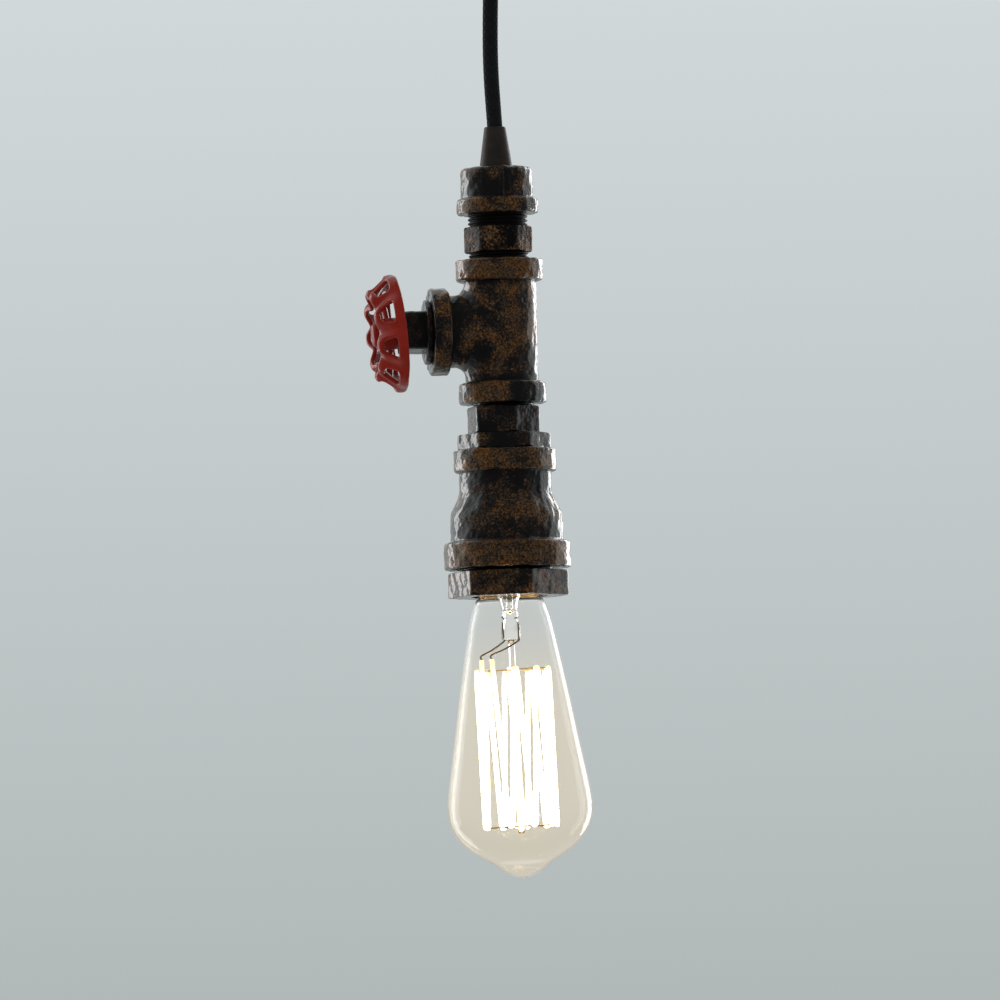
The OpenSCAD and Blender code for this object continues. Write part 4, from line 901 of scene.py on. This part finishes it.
rod_r, rod_top, rod_past, bead_inner, bead_outer, bead_half = 1.4, 20.0, 3, 1.5, 2.6, 1.5
rod_path = np.linspace([0, 0, -rod_top], [0, 0, -(cage_base + rod_past)], 30)
rod = in_glass(round_bar(rod_path, rod_r, 32, (0, 1, 0)))
piece("bulb_glass_rod", plain(rod), stem_glass, "clear_glass", "bulb", "bulb_rod")
bead = turned(finer(eased([
    (bead_inner, -bead_half, 0.3), (bead_outer, -bead_half, 1.0), (bead_outer, bead_half, 1.0),
    (bead_inner, bead_half, 0.3),
]), 0.4), 48)
beads = [in_glass(bead - (0, 0, depth)) for depth in (cage_top, cage_base)]
piece("bulb_glass_beads", plain(*beads), stem_glass, "clear_glass", "bulb")


def on_cage(bend, step, depth):
    """Point on the filament cage: at a bend's angle, a step along its round, and a depth below the rim."""
    turn = np.radians(first_angle + cage_span * bend / strands) + step / cage_r
    x, y, z = np.broadcast_arrays(cage_r * np.cos(turn), cage_r * np.sin(turn), -depth)
    return np.stack([x, y, z], axis=-1)


hook_wire = plain_finish("hook_wire", (0.05, 0.045, 0.04), (0.11, 0.10, 0.09), 1.0, 0.6, 0.35, 0.55)
hook_r, hook_shares, hook_lift = 0.28, np.array([0.13, 0.3, 0.6, 0.9, 0.955]), 0.7


def hook_star(name, node, depth, bends, lift):
    """A wire hook for each bend of the filament, from the bead outwards, whose tip is turned up or down."""
    grids = []
    for bend in bends:
        tip = on_cage(float(bend), 0.0, depth)
        middle = np.array([0, 0, tip[2]])
        path = middle + hook_shares[:, None] * (tip - middle)
        path[-1, 2] += lift
        bar = round_bar(smooth_line(path, 5), hook_r, 8, np.cross(tip - middle, (0, 0, 1)))
        grids.append(in_glass(bar))
    piece(name, plain(*grids), hook_wire, "wire_metal", "bulb", node)


hook_star("bulb_top_hooks", "bulb_upper_hooks", cage_top, range(2, strands - 1, 2), -hook_lift)
hook_star("bulb_foot_hooks", "bulb_lower_hooks", cage_base, range(1, strands, 2), hook_lift)
lead_drop, lead_d, press_side = 27.5, 0.8, 3.2
lead_grids = []
for end in (0, 1):
    side = press_side * (1 - 2 * end)
    lead_end = on_cage(strands * end, 0.0, np.array([lead_drop - 1.4, lead_drop - 0.8, lead_drop + lead_d]))
    lead_path = smooth_line(np.array([
        [side, 0, -12], [side, 0, -18.6], [side - 0.2, -0.5, -20.4],
        0.55 * lead_end[0] + 0.45 * np.array([side, 0, -22.0]), lead_end[1], lead_end[2],
    ]), 10)
    lead_grids.append(in_glass(round_bar(lead_path, lead_d / 2, 12, (0.3, 0.9, 0.1))))
piece("bulb_lead_wires", plain(*lead_grids), hook_wire, "wire_metal", "bulb", "bulb_leads")
glow, shader, place = new_finish("glowing_filament")
height = height_at(place)
cool_z, hot_z = -0.3705, -0.3785
hot = height.ramp(cool_z, hot_z) * (0.85 + 0.3 * grain(place, 6))
place.fill(shader, {
    "Base Color": (0.9, 0.7, 0.4, 1),
    "Roughness": 0.5,
    "Emission Color": hot.mix((0.058, 0.042, 0.025, 1), (1.0, 0.72, 0.38, 1)),
    "Emission Strength": 16.0,
})
bend_h, bend_w, mark_step, coil_r, coil_wave, coil_pitch, coil_sides = 1.4, 0.9, 0.26, 0.95, 0.10, 1.3, 8
bend_count = np.arange(1, strands)[:, None]
at_foot = bend_count % 2 == 1
bend_rise = np.where(at_foot, 1, -1) * bend_h * np.array([1, 0, 0, 1])
bend_depth = np.where(at_foot, cage_base, cage_top) - bend_rise
bend_points = on_cage(bend_count, bend_w * np.array([-1, -0.6, 0.6, 1]), bend_depth).reshape(-1, 3)
lead_depth = lead_drop + lead_d + 0.1
filament_line = np.vstack([
    on_cage(0, 0.0, lead_depth), bend_points, on_cage(strands, 0.0, lead_depth)
])
line_marks = along(filament_line)
marks = np.arange(0, line_marks[-1], mark_step)
filament_path = np.stack([np.interp(marks, line_marks, column) for column in filament_line.T], axis=1)
winding = 2 * np.pi * marks[:, None] / coil_pitch - full_turn(coil_sides)
filament = round_bar(
    filament_path, coil_r * (1 + coil_wave * np.cos(winding)), coil_sides, filament_path * (1, 1, 0)
)
piece("glowing_filament", plain(in_glass(filament)), glow, "filament", "bulb", "bulb_filament")
dress(brass, "bulb_cap")
dress(dark_steel, "bulb_contact")
black_glass = plain_finish(
    "black_glass", (0.006, 0.006, 0.007), (0.012, 0.011, 0.012), 3, 0.0, 0.1, 0.2
)
dress(black_glass, "bulb_insulator")
